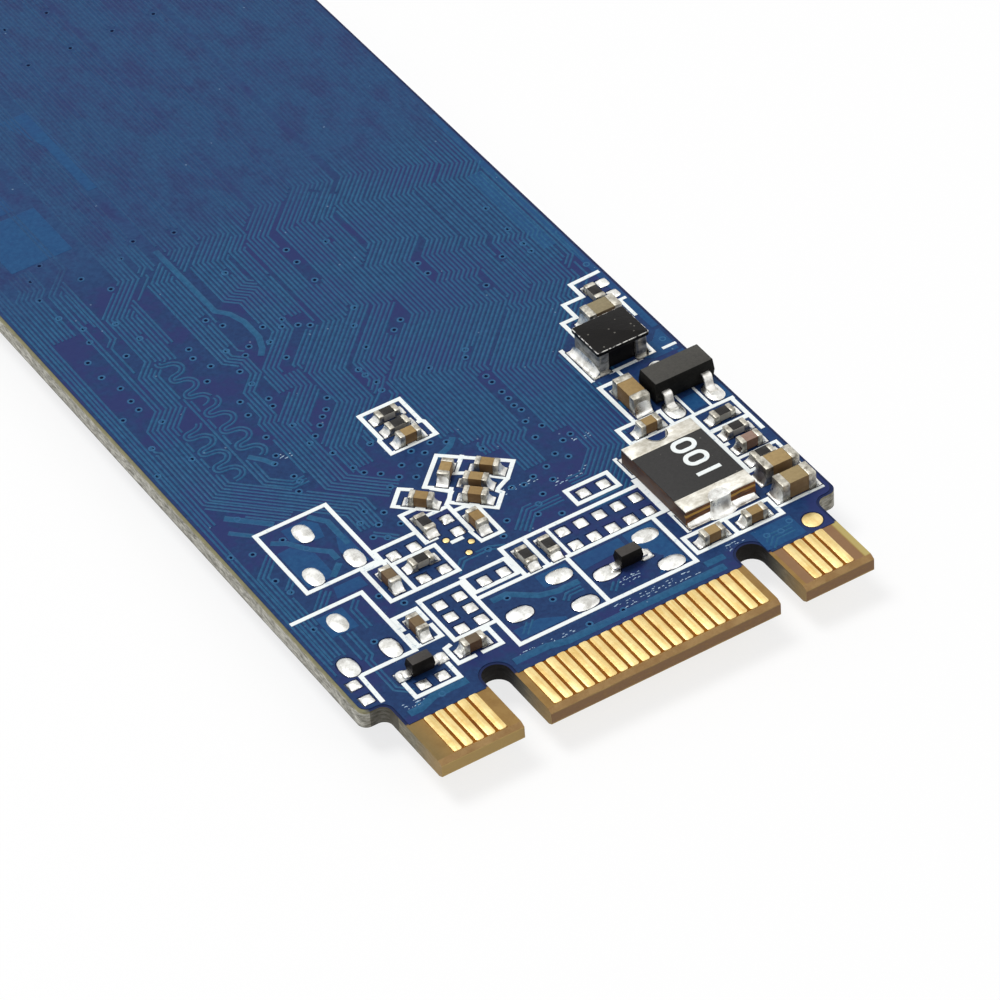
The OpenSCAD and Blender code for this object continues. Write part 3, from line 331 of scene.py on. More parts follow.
def tongue_face(tree, where, axes, yarn, blotch):
    """Bare face: tan, paler at the rims and bevel, and dark red-brown between the contacts."""
    cloth = mottle(tree, where, 1.6, 1.8)
    face = mixed(tree, cloth, tone(136, 104, 58), tone(160, 128, 76))
    beside = times(tree, within(tree, axes["X"], 8.25, 1.36), 0.7)
    face = mixed(tree, beside, face, tone(138, 104, 82))
    face = mixed(tree, past(tree, axes["X"], 9.62, 9.7, 0.8), face, tone(192, 176, 112))
    face = mixed(tree, past(tree, axes["X"], -9.2, -9.8, 0.5), face, tone(112, 104, 72))
    bevelled = mixed(tree, blotch, tone(140, 106, 66), tone(170, 138, 92))
    face = mixed(tree, past(tree, axes["Y"], -39.73, -39.79), face, bevelled)
    between = None
    for middle, reach in CONTACT_GROUPS:
        here = within(tree, axes["X"], middle, reach)
        between = here if between is None else larger(tree, between, here)
    between = times(tree, between, within(tree, axes["Y"], -38.6, 1.14))
    face = mixed(tree, between, face, mixed(tree, cloth, tone(112, 60, 4), tone(146, 90, 12)))
    # Laminate left bare round lands and along the mask's margin: painted dark blue as the shade round the
    # lands, and olive at the far left rim
    edge_line = mixed(tree, yarn, tone(92, 98, 92), tone(158, 150, 104))
    margin = mixed(tree, past(tree, axes["X"], -10.6, -10.8), tone(24, 36, 74), edge_line)
    return mixed(tree, past(tree, axes["Y"], -37.48, -37.4), face, margin)


def laminate_material():
    """Glass-fibre laminate: tan face, layered cut edges, and notch walls painted near black as shade."""
    made, tree, shader, where = start("laminate", Specular_IOR_Level=0.15)
    axes = add(tree, "SeparateXYZ", {0: where}).outputs
    yarn = noise(tree, stretched(tree, where, 2600, 2600, 9000), 1.0, 4.0, 0.7)
    wave = noise(tree, stretched(tree, where, 500, 500, 0), 1.0, 3.0)
    waver = times(tree, maths(tree, "SUBTRACT", wave, 0.5), 0.12 * MM)
    level = maths(tree, "ADD", axes["Z"], waver)
    blotch = mottle(tree, where, 1.2, 2.4)
    front = front_edge(tree, axes, level, yarn, blotch)
    side = long_edge(tree, axes, level, yarn)
    cut_side = larger(tree, facing(tree, "X", 0.55, 0.8), past(tree, axes["Y"], -38.6, -38.2))
    edge = mixed(tree, cut_side, front, side)
    up = facing(tree, "Z", 0.6, 0.8)
    base = mixed(tree, up, edge, tongue_face(tree, where, axes, yarn, blotch))
    # Walls inside the key notches, painted near black as the shade in them
    inner = larger(tree, *[within(tree, axes["X"], middle, reach) for middle, reach in NOTCHES])
    deep = times(tree, past(tree, axes["Y"], -38.6, -37.3), within(tree, axes["Y"], -37.0, 3.0))
    inner = times(tree, times(tree, inner, deep), maths(tree, "SUBTRACT", 1.0, up))
    base = mixed(tree, inner, base, tone(20, 17, 15))
    # Painted shade in the left shoulder's inner corner
    corner = times(tree, within(tree, axes["X"], -10.1, 0.55), within(tree, axes["Y"], -36.3, 0.6))
    corner = times(tree, corner, maths(tree, "SUBTRACT", 0.65, up, clamp=True))
    base = mixed(tree, corner, base, tone(44, 42, 38))
    feed(tree, base, shader["Base Color"])
    feed(tree, span(tree, yarn, 0.3, 0.7, 0.45, 0.75), shader["Roughness"])
    bumped(tree, shader, yarn, 0.012, 0.6)
    return made


def metal_material(name, dark, light, rough, streak, patch=0.9, pits=0.0):
    """Plated or soldered metal with drawn streaks and dull patches."""
    made, tree, shader, where = start(name, Metallic=1.0)
    lines = noise(tree, stretched(tree, where, *streak), 1.0, 3.0)
    dull = mottle(tree, where, patch, 2.0)
    bright = times(tree, lines, maths(tree, "ADD", dull, 0.4))
    base = mixed(tree, span(tree, bright, 0.2, 0.6), dark, light)
    if pits:
        base = mixed(tree, times(tree, specks(tree, where, 3.0, 0.16), pits), base, tone(92, 84, 74))
    feed(tree, base, shader["Base Color"])
    feed(tree, span(tree, dull, 0.2, 0.8, rough - 0.08, rough + 0.12), shader["Roughness"])
    bumped(tree, shader, maths(tree, "ADD", lines, times(tree, dull, 1.6)), 0.006, 0.7)
    return made


def ceramic_material(name, shades, side=0.0):
    """Fired ceramic whose tint goes from part to part by the piece's shade attribute, with its sides
    painted darker brown as shade.
    """
    made, tree, shader, where = start(name, Specular_IOR_Level=0.3)
    part = add(tree, "Attribute", attribute_name="shade").outputs["Fac"]
    ramp = add(tree, "ValToRGB", {0: part})
    stops = ramp.color_ramp.elements
    while len(stops) < len(shades):
        stops.new(0.5)
    for index, shade in enumerate(shades):
        stops[index].position = index / (len(shades) - 1)
        stops[index].color = shade
    grain = mottle(tree, where, 7.0, 1.7)
    base = mixed(tree, times(tree, grain, 0.35), ramp.outputs[0], tone(60, 44, 28))
    # Painted shade: the sides darker brown than the top
    side_shade = times(tree, maths(tree, "SUBTRACT", 1.0, facing(tree, "Z", 0.6, 0.9)), side)
    base = mixed(tree, side_shade, base, tone(78, 44, 18))
    feed(tree, base, shader["Base Color"])
    feed(tree, span(tree, grain, 0.0, 1.0, 0.48, 0.72), shader["Roughness"])
    bumped(tree, shader, grain, 0.006, 0.8)
    return made


def resin_material(name, dark, light, rough, scale, dust, sides=None, shine=0.25):
    """Moulded or coated resin: fine grain, a little dust, and sides painted darker as shade where a side
    colour is given.
    """
    made, tree, shader, where = start(name, Specular_IOR_Level=shine)
    grain = mottle(tree, where, scale, 2.0)
    wide = mottle(tree, where, scale / 12, 1.8)
    base = mixed(tree, times(tree, maths(tree, "ADD", grain, wide), 0.5), dark, light)
    # Painted shade: given sides take a near-black colour and less shine than the top
    if sides:
        top = facing(tree, "Z", 0.86, 0.97)
        flank = mixed(tree, times(tree, grain, 0.35), sides, dark)
        base = mixed(tree, top, flank, base)
        feed(tree, span(tree, top, 0.0, 1.0, 0.08, 0.25), shader["Specular IOR Level"])
    base = mixed(tree, times(tree, specks(tree, where, 2.6, 0.11), dust), base, tone(150, 146, 138))
    feed(tree, base, shader["Base Color"])
    feed(tree, span(tree, wide, 0.1, 0.9, rough - 0.1, rough + 0.1), shader["Roughness"])
    bumped(tree, shader, grain, 0.01, 0.8)
    return made


def rim_wear_and_glint_material():
    """The inductor's bevelled rim: pale marks that are partly wear and partly a painted highlight."""
    made, tree, shader, where = start("inductor_rim_glint_and_wear", Specular_IOR_Level=0.5, Roughness=0.4)
    pale_wear_glint = noise(tree, where, 3.4 * PER_MM, 3.0, 0.6)
    base = mixed(tree, span(tree, pale_wear_glint, 0.46, 0.52), tone(24, 22, 22), tone(226, 224, 218))
    feed(tree, base, shader["Base Color"])
    bumped(tree, shader, pale_wear_glint, 0.01)
    return made


def ink_material():
    """Printed white ink, thin and uneven in places."""
    made, tree, shader, where = start("legend_ink", Specular_IOR_Level=0.3)
    thin = mottle(tree, where, 5.0, 2.4)
    base = mixed(tree, span(tree, thin, 0.05, 0.3), tone(196, 212, 222), tone(244, 249, 248))
    feed(tree, base, shader["Base Color"])
    feed(tree, span(tree, thin, 0.0, 1.0, 0.75, 0.5), shader["Roughness"])
    bumped(tree, shader, thin, 0.006, 0.6)
    return made


def layered_material():
    """Dark brown layered laminate of the fuse, with a gold copper line in its side."""
    made, tree, shader, where = start("fuse_layers", Specular_IOR_Level=0.4)
    axes = add(tree, "SeparateXYZ", {0: where}).outputs
    yarn = noise(tree, stretched(tree, where, 1800, 1800, 12000), 1.0, 4.0, 0.7)
    base = mixed(tree, span(tree, yarn, 0.35, 0.65), tone(56, 26, 8), tone(134, 80, 32))
    wave = times(tree, noise(tree, stretched(tree, where, 1500, 1500, 0), 1.0, 2.0), 0.12 * MM)
    line = within(tree, maths(tree, "ADD", axes["Z"], wave), 2.62, 0.06)
    line = times(tree, line, past(tree, axes["Y"], -34.2, -34.3))
    base = mixed(tree, times(tree, facing(tree, "X", 0.5, 0.8), 0.7), base, tone(22, 16, 14))
    base = mixed(tree, line, base, tone(196, 148, 62))
    feed(tree, base, shader["Base Color"])
    feed(tree, span(tree, yarn, 0.3, 0.7, 0.35, 0.6), shader["Roughness"])
    bumped(tree, shader, yarn, 0.01, 0.6)
    return made


MASK = mask_material("mask_on_laminate", tone(23, 46, 88), tone(34, 64, 108), tone(39, 47, 98), 0.8)
MASK_COPPER = mask_material("mask_on_copper", tone(27, 75, 113), tone(46, 98, 135), tone(36, 76, 119), 0.4)
MASK_POUR = mask_material("mask_on_pour", tone(24, 66, 112), tone(36, 82, 126), tone(32, 62, 112), 0.4, 0.0)
MASK_RING = mask_material("mask_on_rings", tone(40, 86, 128), tone(56, 106, 146), tone(44, 88, 128), 0.4)
# Dark navy painted in each via's dimple, as the shade of the hole under it
VIA_SHADE = resin_material("via_hole_painted_shade", tone(6, 12, 40), tone(12, 22, 58), 0.8, 5.0, 0.0, shine=0.04)
LAMINATE = laminate_material()
GOLD = metal_material("contact_gold", tone(230, 193, 118), tone(245, 223, 160), 0.34, (9000, 700, 3000))
TIN = metal_material("solder_tin", tone(196, 194, 188), tone(246, 246, 242), 0.3,
                     (3000, 3000, 3000), 2.4, 0.2)
SILVER = metal_material("silver_ends", tone(118, 112, 100), tone(206, 202, 190), 0.42,
                        (5000, 5000, 5000), 3.2, 0.4)
FOOT = metal_material("inductor_feet_plating", tone(96, 94, 90), tone(186, 183, 175), 0.46,
                      (2600, 2600, 5200), 2.6, 0.4)
LEG = metal_material("lead_plating", tone(176, 173, 166), tone(236, 234, 229), 0.36,
                     (2600, 2600, 2600), 2.6, 0.2)
FOIL = metal_material("fuse_foil", tone(186, 180, 164), tone(232, 229, 220), 0.45,
                      (2500, 5200, 2500), 1.6, 0.25)
LID = metal_material("crystal_lid", tone(170, 170, 168), tone(214, 214, 210), 0.34, (600, 6000, 600), 1.2)
INK = ink_material()
# The side setting paints the capacitors' sides darker as shade
CERAMIC = ceramic_material("capacitor_ceramic", [
    tone(88, 80, 70), tone(148, 118, 70), tone(178, 150, 100), tone(150, 140, 106),
    tone(158, 128, 116)], side=0.62)
WHITE_CERAMIC = ceramic_material("resistor_ceramic", [tone(150, 147, 138), tone(198, 196, 188)])
COAT = resin_material("resistor_coat", tone(14, 13, 13), tone(38, 35, 33), 0.4, 6.0, 0.2)
FUSE_COAT = resin_material("fuse_coat", tone(34, 33, 33), tone(56, 55, 54), 0.6, 9.0, 0.3)
FUSE_LAYERS = layered_material()
# Pale beads that stand for glints off the edges of runs
BEAD_GLINT = resin_material("pale_glint_finish", tone(110, 150, 185), tone(205, 222, 232), 0.3, 9.0, 0.0)
# The last colour of these two moulded resins is painted shade on their sides
EPOXY = resin_material("moulded_resin", tone(44, 43, 40), tone(78, 76, 71), 0.55, 9.0, 0.35, tone(8, 8, 7))
GLOSSY = resin_material("diode_resin", tone(40, 37, 35), tone(70, 66, 62), 0.45, 9.0, 0.25, tone(6, 5, 5))
PACKAGE = resin_material("package_resin", tone(30, 30, 32), tone(48, 48, 50), 0.5, 4.0, 0.3)
FERRITE = resin_material("inductor_ferrite", tone(8, 7, 7), tone(24, 22, 21), 0.42, 3.5, 0.4, shine=0.1)
# Rim of the inductor top: pale wear with a painted highlight
RIM_WEAR_GLINT = rim_wear_and_glint_material()


# Shaping helpers

def stamp_mesh(bm):
    mesh = bpy.data.meshes.new("stamp")
    bm.to_mesh(mesh)
    bm.free()
    return mesh


def put(bm, mesh, matrix, shade=None, material=None):
    """Adds a copy of a shape to a piece, moved into place."""
    layer = bm.verts.layers.float.get("shade") or bm.verts.layers.float.new("shade")
    first_vert = len(bm.verts)
    first_face = len(bm.faces)
    bm.from_mesh(mesh)
    bm.verts.ensure_lookup_table()
    bm.faces.ensure_lookup_table()
    fresh = bm.verts[first_vert:]
    bmesh.ops.transform(bm, matrix=matrix, verts=fresh)
    if shade is not None:
        for vert in fresh:
            vert[layer] = shade
    if material is not None:
        for face in bm.faces[first_face:]:
            face.material_index = material


def piece(name, bm, materials, replaced=(), sharp=0.7):
    """Turns a finished bmesh into a piece of the board, in metres."""
    bmesh.ops.transform(bm, matrix=Matrix.Scale(MM, 4), verts=bm.verts)
    bmesh.ops.recalc_face_normals(bm, faces=bm.faces)
    mesh = bpy.data.meshes.new(name)
    bm.to_mesh(mesh)
    bm.free()
    for material in materials:
        mesh.materials.append(material)
    for polygon in mesh.polygons:
        polygon.use_smooth = True
    mesh.set_sharp_from_angle(angle=sharp)
    made = bpy.data.objects.new(name, mesh)
    bpy.context.scene.collection.objects.link(made)
    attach(made, "root")
    if replaced:
        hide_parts(*replaced)


def bevel(bm, edges, offset, segments=2):
    bmesh.ops.bevel(bm, geom=edges, offset=offset, offset_type="OFFSET", segments=segments,
                    profile=0.5, affect="EDGES", material=-1, clamp_overlap=True)


def upright(edge):
    a, b = (vert.co for vert in edge.verts)
    return abs(a.z - b.z) > 1e-4 and (a.xy - b.xy).length < 1e-4


def level_at(edge, z):
    return all(abs(vert.co.z - z) < 1e-4 for vert in edge.verts)


def slab(length, width, low, high, corner, edge, both=True):
    """A block with round corners in plan and softened upper, or both, rims."""
    bm = bmesh.new()
    middle = Matrix.Translation((0, 0, (low + high) / 2))
    bmesh.ops.create_cube(bm, size=1.0, matrix=middle @ Matrix.Diagonal((length, width, high - low, 1)))
    if corner:
        bevel(bm, [e for e in bm.edges if upright(e)], corner, 4)
    rims = [e for e in bm.edges if level_at(e, high) or (both and level_at(e, low))]
    if not corner:
        rims += [e for e in bm.edges if upright(e)]
    if edge:
        bevel(bm, rims, edge, 2)
    return bm


def only_verts(geometry):
    return [item for item in geometry if isinstance(item, bmesh.types.BMVert)]


def wall_down(bm):
    """Closes an open sheet with walls down to z = 0 and a flat underside."""
    grown = bmesh.ops.extrude_edge_only(bm, edges=[e for e in bm.edges if e.is_boundary])["geom"]
    for vert in only_verts(grown):
        vert.co.z = 0
    bmesh.ops.holes_fill(bm, edges=[e for e in bm.edges if e.is_boundary], sides=0)


def prism(outline, low, high, edge=0.0):
    """An upright solid on an outline, with a softened upper rim."""
    bm = bmesh.new()
    base = bm.faces.new([bm.verts.new((x, y, low)) for x, y in outline])
    grown = bmesh.ops.extrude_face_region(bm, geom=[base])["geom"]
    bmesh.ops.translate(bm, vec=(0, 0, high - low), verts=only_verts(grown))
    if edge:
        bevel(bm, [e for e in bm.edges if level_at(e, high)], edge, 2)
    return bm


def turned(profile, steps):
    """A round solid from a profile of radius and height."""
    bm = bmesh.new()
    verts = [bm.verts.new((radius, 0, height)) for radius, height in profile]
    edges = [bm.edges.new(pair) for pair in zip(verts, verts[1:])]
    bmesh.ops.spin(bm, geom=verts + edges, cent=(0, 0, 0), axis=(0, 0, 1), dvec=(0, 0, 0),
                   angle=math.tau, steps=steps, use_merge=True)
    bmesh.ops.remove_doubles(bm, verts=bm.verts, dist=1e-5)
    return bm


def sweep(bm, points, section, fixed):
    """Draws a closed section along a path whose bends all turn about one direction."""
    fixed = Vector(fixed)
    verts = []
    for index, here in enumerate(points):
        ahead = (points[min(index + 1, len(points) - 1)] - here).normalized()
        behind = (here - points[max(index - 1, 0)]).normalized()
        ahead = ahead if ahead.length else behind
        behind = behind if behind.length else ahead
        along = (ahead + behind).normalized()
        across = fixed.cross(along).normalized() / max(along.dot(ahead), 0.3)
        spots = [here + across * a + fixed * b for a, b in section]
        if not verts:
            verts = [bm.verts.new(spot) for spot in spots]
            bm.faces.new(verts)
            ring = [bm.edges.get((verts[i], verts[i - 1])) for i in range(len(verts))]
            continue
        grown = bmesh.ops.extrude_edge_only(bm, edges=ring)["geom"]
        order = {}
        for vert in only_verts(grown):
            source = next(e.other_vert(vert) for e in vert.link_edges if e.other_vert(vert) in verts)
            order[verts.index(source)] = vert
            vert.co = spots[verts.index(source)]
        verts = [order[i] for i in range(len(section))]
        ring = [g for g in grown if isinstance(g, bmesh.types.BMEdge) and all(v in verts for v in g.verts)]
    bm.faces.new(verts)


def site(x, y, turn=0.0, under=False):
    """Where a part stands on its lands; z is its own height."""
    place = Matrix.Translation((x, y + FRONT, LOW - LAND if under else UP + LAND))
    if under:
        place = place @ Matrix.Scale(-1, 4, (0, 0, 1))
    return place @ Matrix.Rotation(math.radians(turn), 4, "Z")


def skin_frame(under=False):
    """The plane of a mask's outer face, with y from the contact edge."""
    place = Matrix.Translation((0, FRONT, LOW - SKIN if under else UP + SKIN))
    return place @ Matrix.Scale(-1, 4, (0, 0, 1)) if under else place


# Copper runs, vias and pours under the mask

RUN_PITCH = 0.19
RUN_WIDTH = 0.108
RIB = [(-0.054, -0.004), (-0.036, 0.014), (0.036, 0.014), (0.054, -0.004)]
SHORTEST_RUN = 0.4
SHORTEST_FILL = 1.6
FILL_LINES = 5
POUR_SUNK, POUR_PROUD, POUR_RIM = 0.006, 0.008, 0.012
VIA_REACH = 0.19
VIA_ROOM = 0.2
VIA_HOLE = 0.08
VIA_RING = [(0.0, 0.003), (VIA_HOLE, 0.003), (0.1, 0.018), (0.145, 0.018), (0.17, -0.004), (0.0, -0.004)]

# Bundles on the upper face: how many lines, and the path of the leftmost
UPPER_RUNS = [
    # Left edge
    (2, [(-10.68, 6.4), (-10.68, 76)]),
    (3, [(-10.36, 6.3), (-10.36, 12.9), (-9.35, 13.9)]),
    (2, [(-10.33, 16.6), (-10.33, 77)]),
    (3, [(-7.5, 15.22), (-10.12, 17.84), (-10.12, 21.5), (-10.3, 21.68), (-10.3, 22.2)]),
    (2, [(-5.6, 12.9), (-5.6, 14.06), (-9.55, 18.01), (-9.55, 23.1), (-8.65, 24.0), (-8.65, 33.0),
         (-7.4, 34.25), (-7.4, 76)]),
    (4, [(-5.22, 12.9), (-5.22, 14.22), (-9.17, 18.17), (-9.17, 22.94), (-8.2, 23.91), (-8.2, 26.2),
         (-7.45, 26.95), (-7.45, 30.2), (-5.6, 32.05), (-5.6, 76)]),
    (3, [(-5.75, 16.7), (-6.45, 16.7), (-7.35, 17.6), (-7.35, 24.4)]),
    # Middle
    (3, [(-3.6, 14.05), (-5.45, 15.9), (-5.45, 20.8), (-5.15, 21.1), (-5.15, 22.9), (-4.3, 23.75),
         (-4.3, 24.6), (-4.75, 25.05), (-4.75, 31.2), (-3.2, 32.75), (-3.2, 75)]),
    (4, [(-3.2, 14.2), (-4.88, 15.88), (-4.88, 20.3), (-3.2, 21.98), (-3.2, 22.9)]),
    (2, [(-5.25, 12.6), (-4.5, 11.85)]),
    (4, [(-4.4, 15.6), (-4.4, 18.1), (-2.35, 20.15), (-2.35, 22.4), (0.02, 24.77), (0.02, 31.4),
         (1.6, 32.98), (1.6, 75)]),
    (4, [(-3.64, 16.2), (-3.64, 17.79), (-1.59, 19.84), (-1.59, 22.09), (1.32, 25.0), (1.32, 31.2),
         (3.4, 33.28), (3.4, 75)]),
    (4, [(-2.6, 17.2), (-2.6, 17.9), (-2.4, 18.9), (-0.9, 20.2), (-0.55, 20.6), (-0.55, 21.9),
         (2.08, 24.53), (2.08, 31.2), (3.6, 32.72)]),
    (5, [(-3.95, 22.0), (-3.95, 23.8), (-2.2, 25.55), (-2.2, 28.0), (-2.7, 28.5), (-2.7, 31.3),
         (-1.4, 32.6), (-1.4, 74)]),
    (3, [(-1.05, 25.9), (-1.05, 31.1), (-0.3, 31.85), (-0.3, 74)]),
    (2, [(-6.1, 27.4), (-6.1, 30.9), (-4.6, 32.4), (-4.6, 76)]),
    # Long bundles to the right of the middle
    (6, [(0.1, 14.9), (0.1, 20.15), (3.05, 23.1), (3.05, 26.9), (4.2, 28.05), (4.2, 31.2), (5.6, 32.6),
         (5.6, 76)]),
    (4, [(0.85, 13.9), (0.85, 14.6), (1.24, 14.99), (1.24, 19.68), (4.19, 22.63), (4.19, 26.43),
         (5.34, 27.58), (5.34, 30.7), (6.74, 32.1), (6.74, 76)]),
    (5, [(1.61, 12.2), (1.61, 14.28), (2.0, 14.67), (2.0, 19.36), (4.95, 22.31), (4.95, 24.3),
         (5.35, 24.7), (5.35, 26.11), (6.1, 26.86), (6.1, 30.4), (7.5, 31.8), (7.5, 77)]),
    (4, [(3.8, 13.5), (3.8, 18.1), (6.6, 20.9), (6.6, 21.3), (7.1, 21.8), (7.1, 25.6), (7.5, 26.0),
         (7.5, 30.2), (8.6, 31.3), (8.6, 77)]),
    (9, [(2.62, 10.62), (3.42, 10.62), (4.56, 11.76), (4.56, 17.79), (7.36, 20.59), (7.36, 20.99),
         (8.2, 21.83), (8.2, 25.1), (8.5, 25.4), (8.5, 30.0), (9.3, 30.8), (9.3, 77)]),
    (3, [(6.52, 11.9), (6.52, 17.4)]),
    (2, [(7.05, 19.3), (9.2, 21.45), (10.35, 22.6), (10.35, 77)]),
    # Between the lands near the contact edge
    (2, [(-10.5, 11.0), (-9.2, 12.3)]),
    (3, [(-9.5, 10.05), (-8.65, 10.9)]),
    (2, [(-8.75, 3.9), (-9.3, 4.45), (-9.3, 6.5), (-9.1, 6.7), (-9.1, 8.6), (-9.6, 9.1)]),
    (2, [(-8.3, 8.0), (-8.3, 9.3), (-7.9, 9.7)]),
    (2, [(-7.1, 3.0), (-6.6, 3.5), (-4.9, 3.5), (-4.4, 3.0)]),
    (2, [(-3.6, 4.2), (-2.9, 4.9), (-2.9, 6.1), (-2.5, 6.5)]),
    (2, [(-1.3, 4.9), (-1.0, 5.2), (-0.3, 5.2)]),
    (2, [(0.5, 4.3), (1.0, 4.8)]),
    (3, [(6.7, 2.8), (7.3, 3.4), (8.3, 3.4)]),
    (2, [(-3.9, 8.65), (-3.3, 9.25), (-2.0, 9.25), (-1.4, 8.95)]),
    (3, [(-0.5, 9.3), (0.4, 10.2), (1.9, 10.2)]),
    (2, [(4.6, 9.2), (4.6, 10.3), (5.2, 10.9), (5.2, 12.4), (5.9, 13.1)]),
    # Far left
    (5, [(-9.75, 30.1), (-9.75, 33.4), (-9.3, 33.85), (-9.3, 35.0)]),
    (2, [(-8.35, 26.6), (-8.35, 28.6), (-7.9, 29.05), (-7.9, 33.6)]),
    (6, [(-9.9, 46), (-9.9, 58), (-8.4, 59.5), (-8.4, 74)]),
    (8, [(-6.6, 47.0), (-6.6, 56), (-5.0, 57.6), (-5.0, 76)]),
]
# Wider single runs: width and path
THICK_RUNS = [
    (0.3, [(-3.4, 24.5), (-3.1, 24.9), (-2.85, 25.6), (-2.85, 26.8), (-3.1, 27.6), (-3.5, 28.1),
           (-3.55, 33)]),
    (0.34, [(-9.65, 16.75), (-8.2, 15.3)]),
    (0.26, [(-9.95, 15.9), (-9.2, 15.15)]),
    (0.3, [(-8.9, 14.4), (-8.35, 14.0), (-7.9, 13.3), (-7.2, 12.6), (-7.2, 11.9), (-7.9, 11.3)]),
    (0.3, [(-6.9, 14.9), (-6.4, 14.2), (-6.4, 12.6)]),
    (0.34, [(-3.6, 6.5), (-2.9, 6.5), (-1.9, 5.7), (-1.2, 5.5), (-0.2, 5.5)]),
    (0.4, [(-10.4, 3.0), (-9.0, 3.0), (-8.2, 3.3), (-6.7, 3.3)]),
    (0.4, [(-4.9, 3.1), (-3.2, 3.1), (-2.4, 2.9), (4.9, 2.9)]),
    (0.36, [(4.3, 3.4), (5.2, 3.4)]),
    (0.3, [(0.3, 15.6), (-0.1, 15.2), (-0.9, 14.9)]),
    (0.28, [(-7.0, 19.4), (-6.6, 18.9), (-6.35, 18.4)]),
]
# Places of the vias on the upper face
VIAS = [
    (-10.55, 20.5), (-9.25, 16.4), (-9.8, 14.25), (-9.85, 12.4), (-9.7, 11.5), (-10.6, 14.6),
    (-8.4, 14.3), (-7.9, 13.3), (-6.4, 16.4), (-6.05, 16.9), (-6.1, 17.3), (-6.35, 18.4), (-6.05, 18.8),
    (-5.8, 20.0), (-5.7, 21.6), (-4.6, 21.5), (-4.55, 20.0), (-4.55, 18.65), (-4.15, 18.9),
    (-3.65, 19.35), (-3.3, 19.75), (-2.95, 20.05), (-2.55, 20.65), (-0.6, 21.4), (-0.55, 20.95),
    (-0.4, 20.3), (-0.5, 19.75), (-4.1, 17.6), (-3.9, 16.35), (-3.7, 15.85), (-3.2, 15.4), (-3.3, 14.5),
    (-2.7, 14.8), (-2.25, 15.35), (-2.15, 14.4), (-1.65, 14.95), (-1.1, 15.45), (-0.6, 15.85),
    (-1.5, 15.85), (-0.05, 15.5), (-4.9, 13.85), (-5.4, 13.35), (-4.3, 13.35), (-4.85, 12.85),
    (-5.4, 12.35), (-4.1, 12.4), (-4.95, 12.0), (-2.6, 17.2), (3.6, 19.9), (3.35, 19.5), (1.8, 19.8),
    (3.4, 18.0), (3.4, 17.55), (3.4, 16.8), (3.4, 16.3), (3.35, 15.8), (3.45, 15.4), (3.2, 14.7),
    (3.6, 14.1), (3.0, 13.65), (4.25, 13.0), (3.8, 12.85), (3.1, 12.35), (2.4, 11.9), (3.45, 11.9),
    (1.65, 11.7), (1.1, 11.5), (0.6, 11.65), (0.9, 14.3), (6.65, 16.95), (7.1, 14.1), (10.5, 15.75),
    (10.6, 21.6), (2.2, 11.1), (-9.4, 28.3), (-9.4, 27.15), (-9.15, 25.15), (-9.15, 24.5),
    (-8.75, 23.3), (-7.9, 27.75), (-7.25, 29.8), (-9.9, 22.1), (-5.6, 26.6), (-5.75, 26.0),
    (-5.4, 25.15), (-4.4, 25.6), (-3.9, 24.9), (-3.5, 25.3), (-4.6, 24.15), (-4.6, 23.2), (-5.55, 22.5),
    (-4.5, 22.0), (-3.7, 27.1), (-2.4, 26.05), (-2.65, 25.05), (-2.6, 23.8), (-1.5, 26.0),
    (-1.75, 25.6), (-1.15, 25.3), (-0.75, 25.0), (0.9, 28.85), (0.95, 29.8), (1.3, 24.9), (0.7, 23.9),
    (0.4, 22.45), (1.9, 22.7), (2.45, 23.1), (4.95, 25.8), (4.95, 25.0), (6.5, 22.9), (9.2, 27.2),
    (9.2, 25.5), (9.2, 24.3), (9.2, 23.7), (8.05, 24.1), (-10.05, 9.15), (-8.5, 7.2), (-7.0, 9.3),
    (-6.4, 8.4), (-3.0, 6.3), (-1.6, 5.2), (-7.9, 3.2), (-8.9, 3.2), (-1.2, 3.2), (0.3, 3.1),
    (7.2, 3.4), (7.8, 3.3), (8.4, 3.6), (4.6, 4.2), (-2.1, 9.1), (-1.2, 9.4), (0.6, 9.7), (0.95, 10.2),
    (1.4, 10.6), (-0.6, 10.1), (1.4, 9.2), (-9.0, 31.5), (-9.1, 33.0), (-1.9, 30.0), (-4.1, 27.8),
    (-8.7, 29.4), (-8.5, 30.3), (-8.8, 34.3), (-7.0, 33.2), (-6.3, 31.9), (-8.0, 35.0), (-6.9, 28.4),
    (-5.0, 33.4), (-4.0, 34.1), (-2.3, 33.6), (-10.0, 24.3), (-9.1, 26.1), (-8.9, 20.6), (-6.0, 24.4),
    (0.9, 27.4), (2.6, 29.3),
]
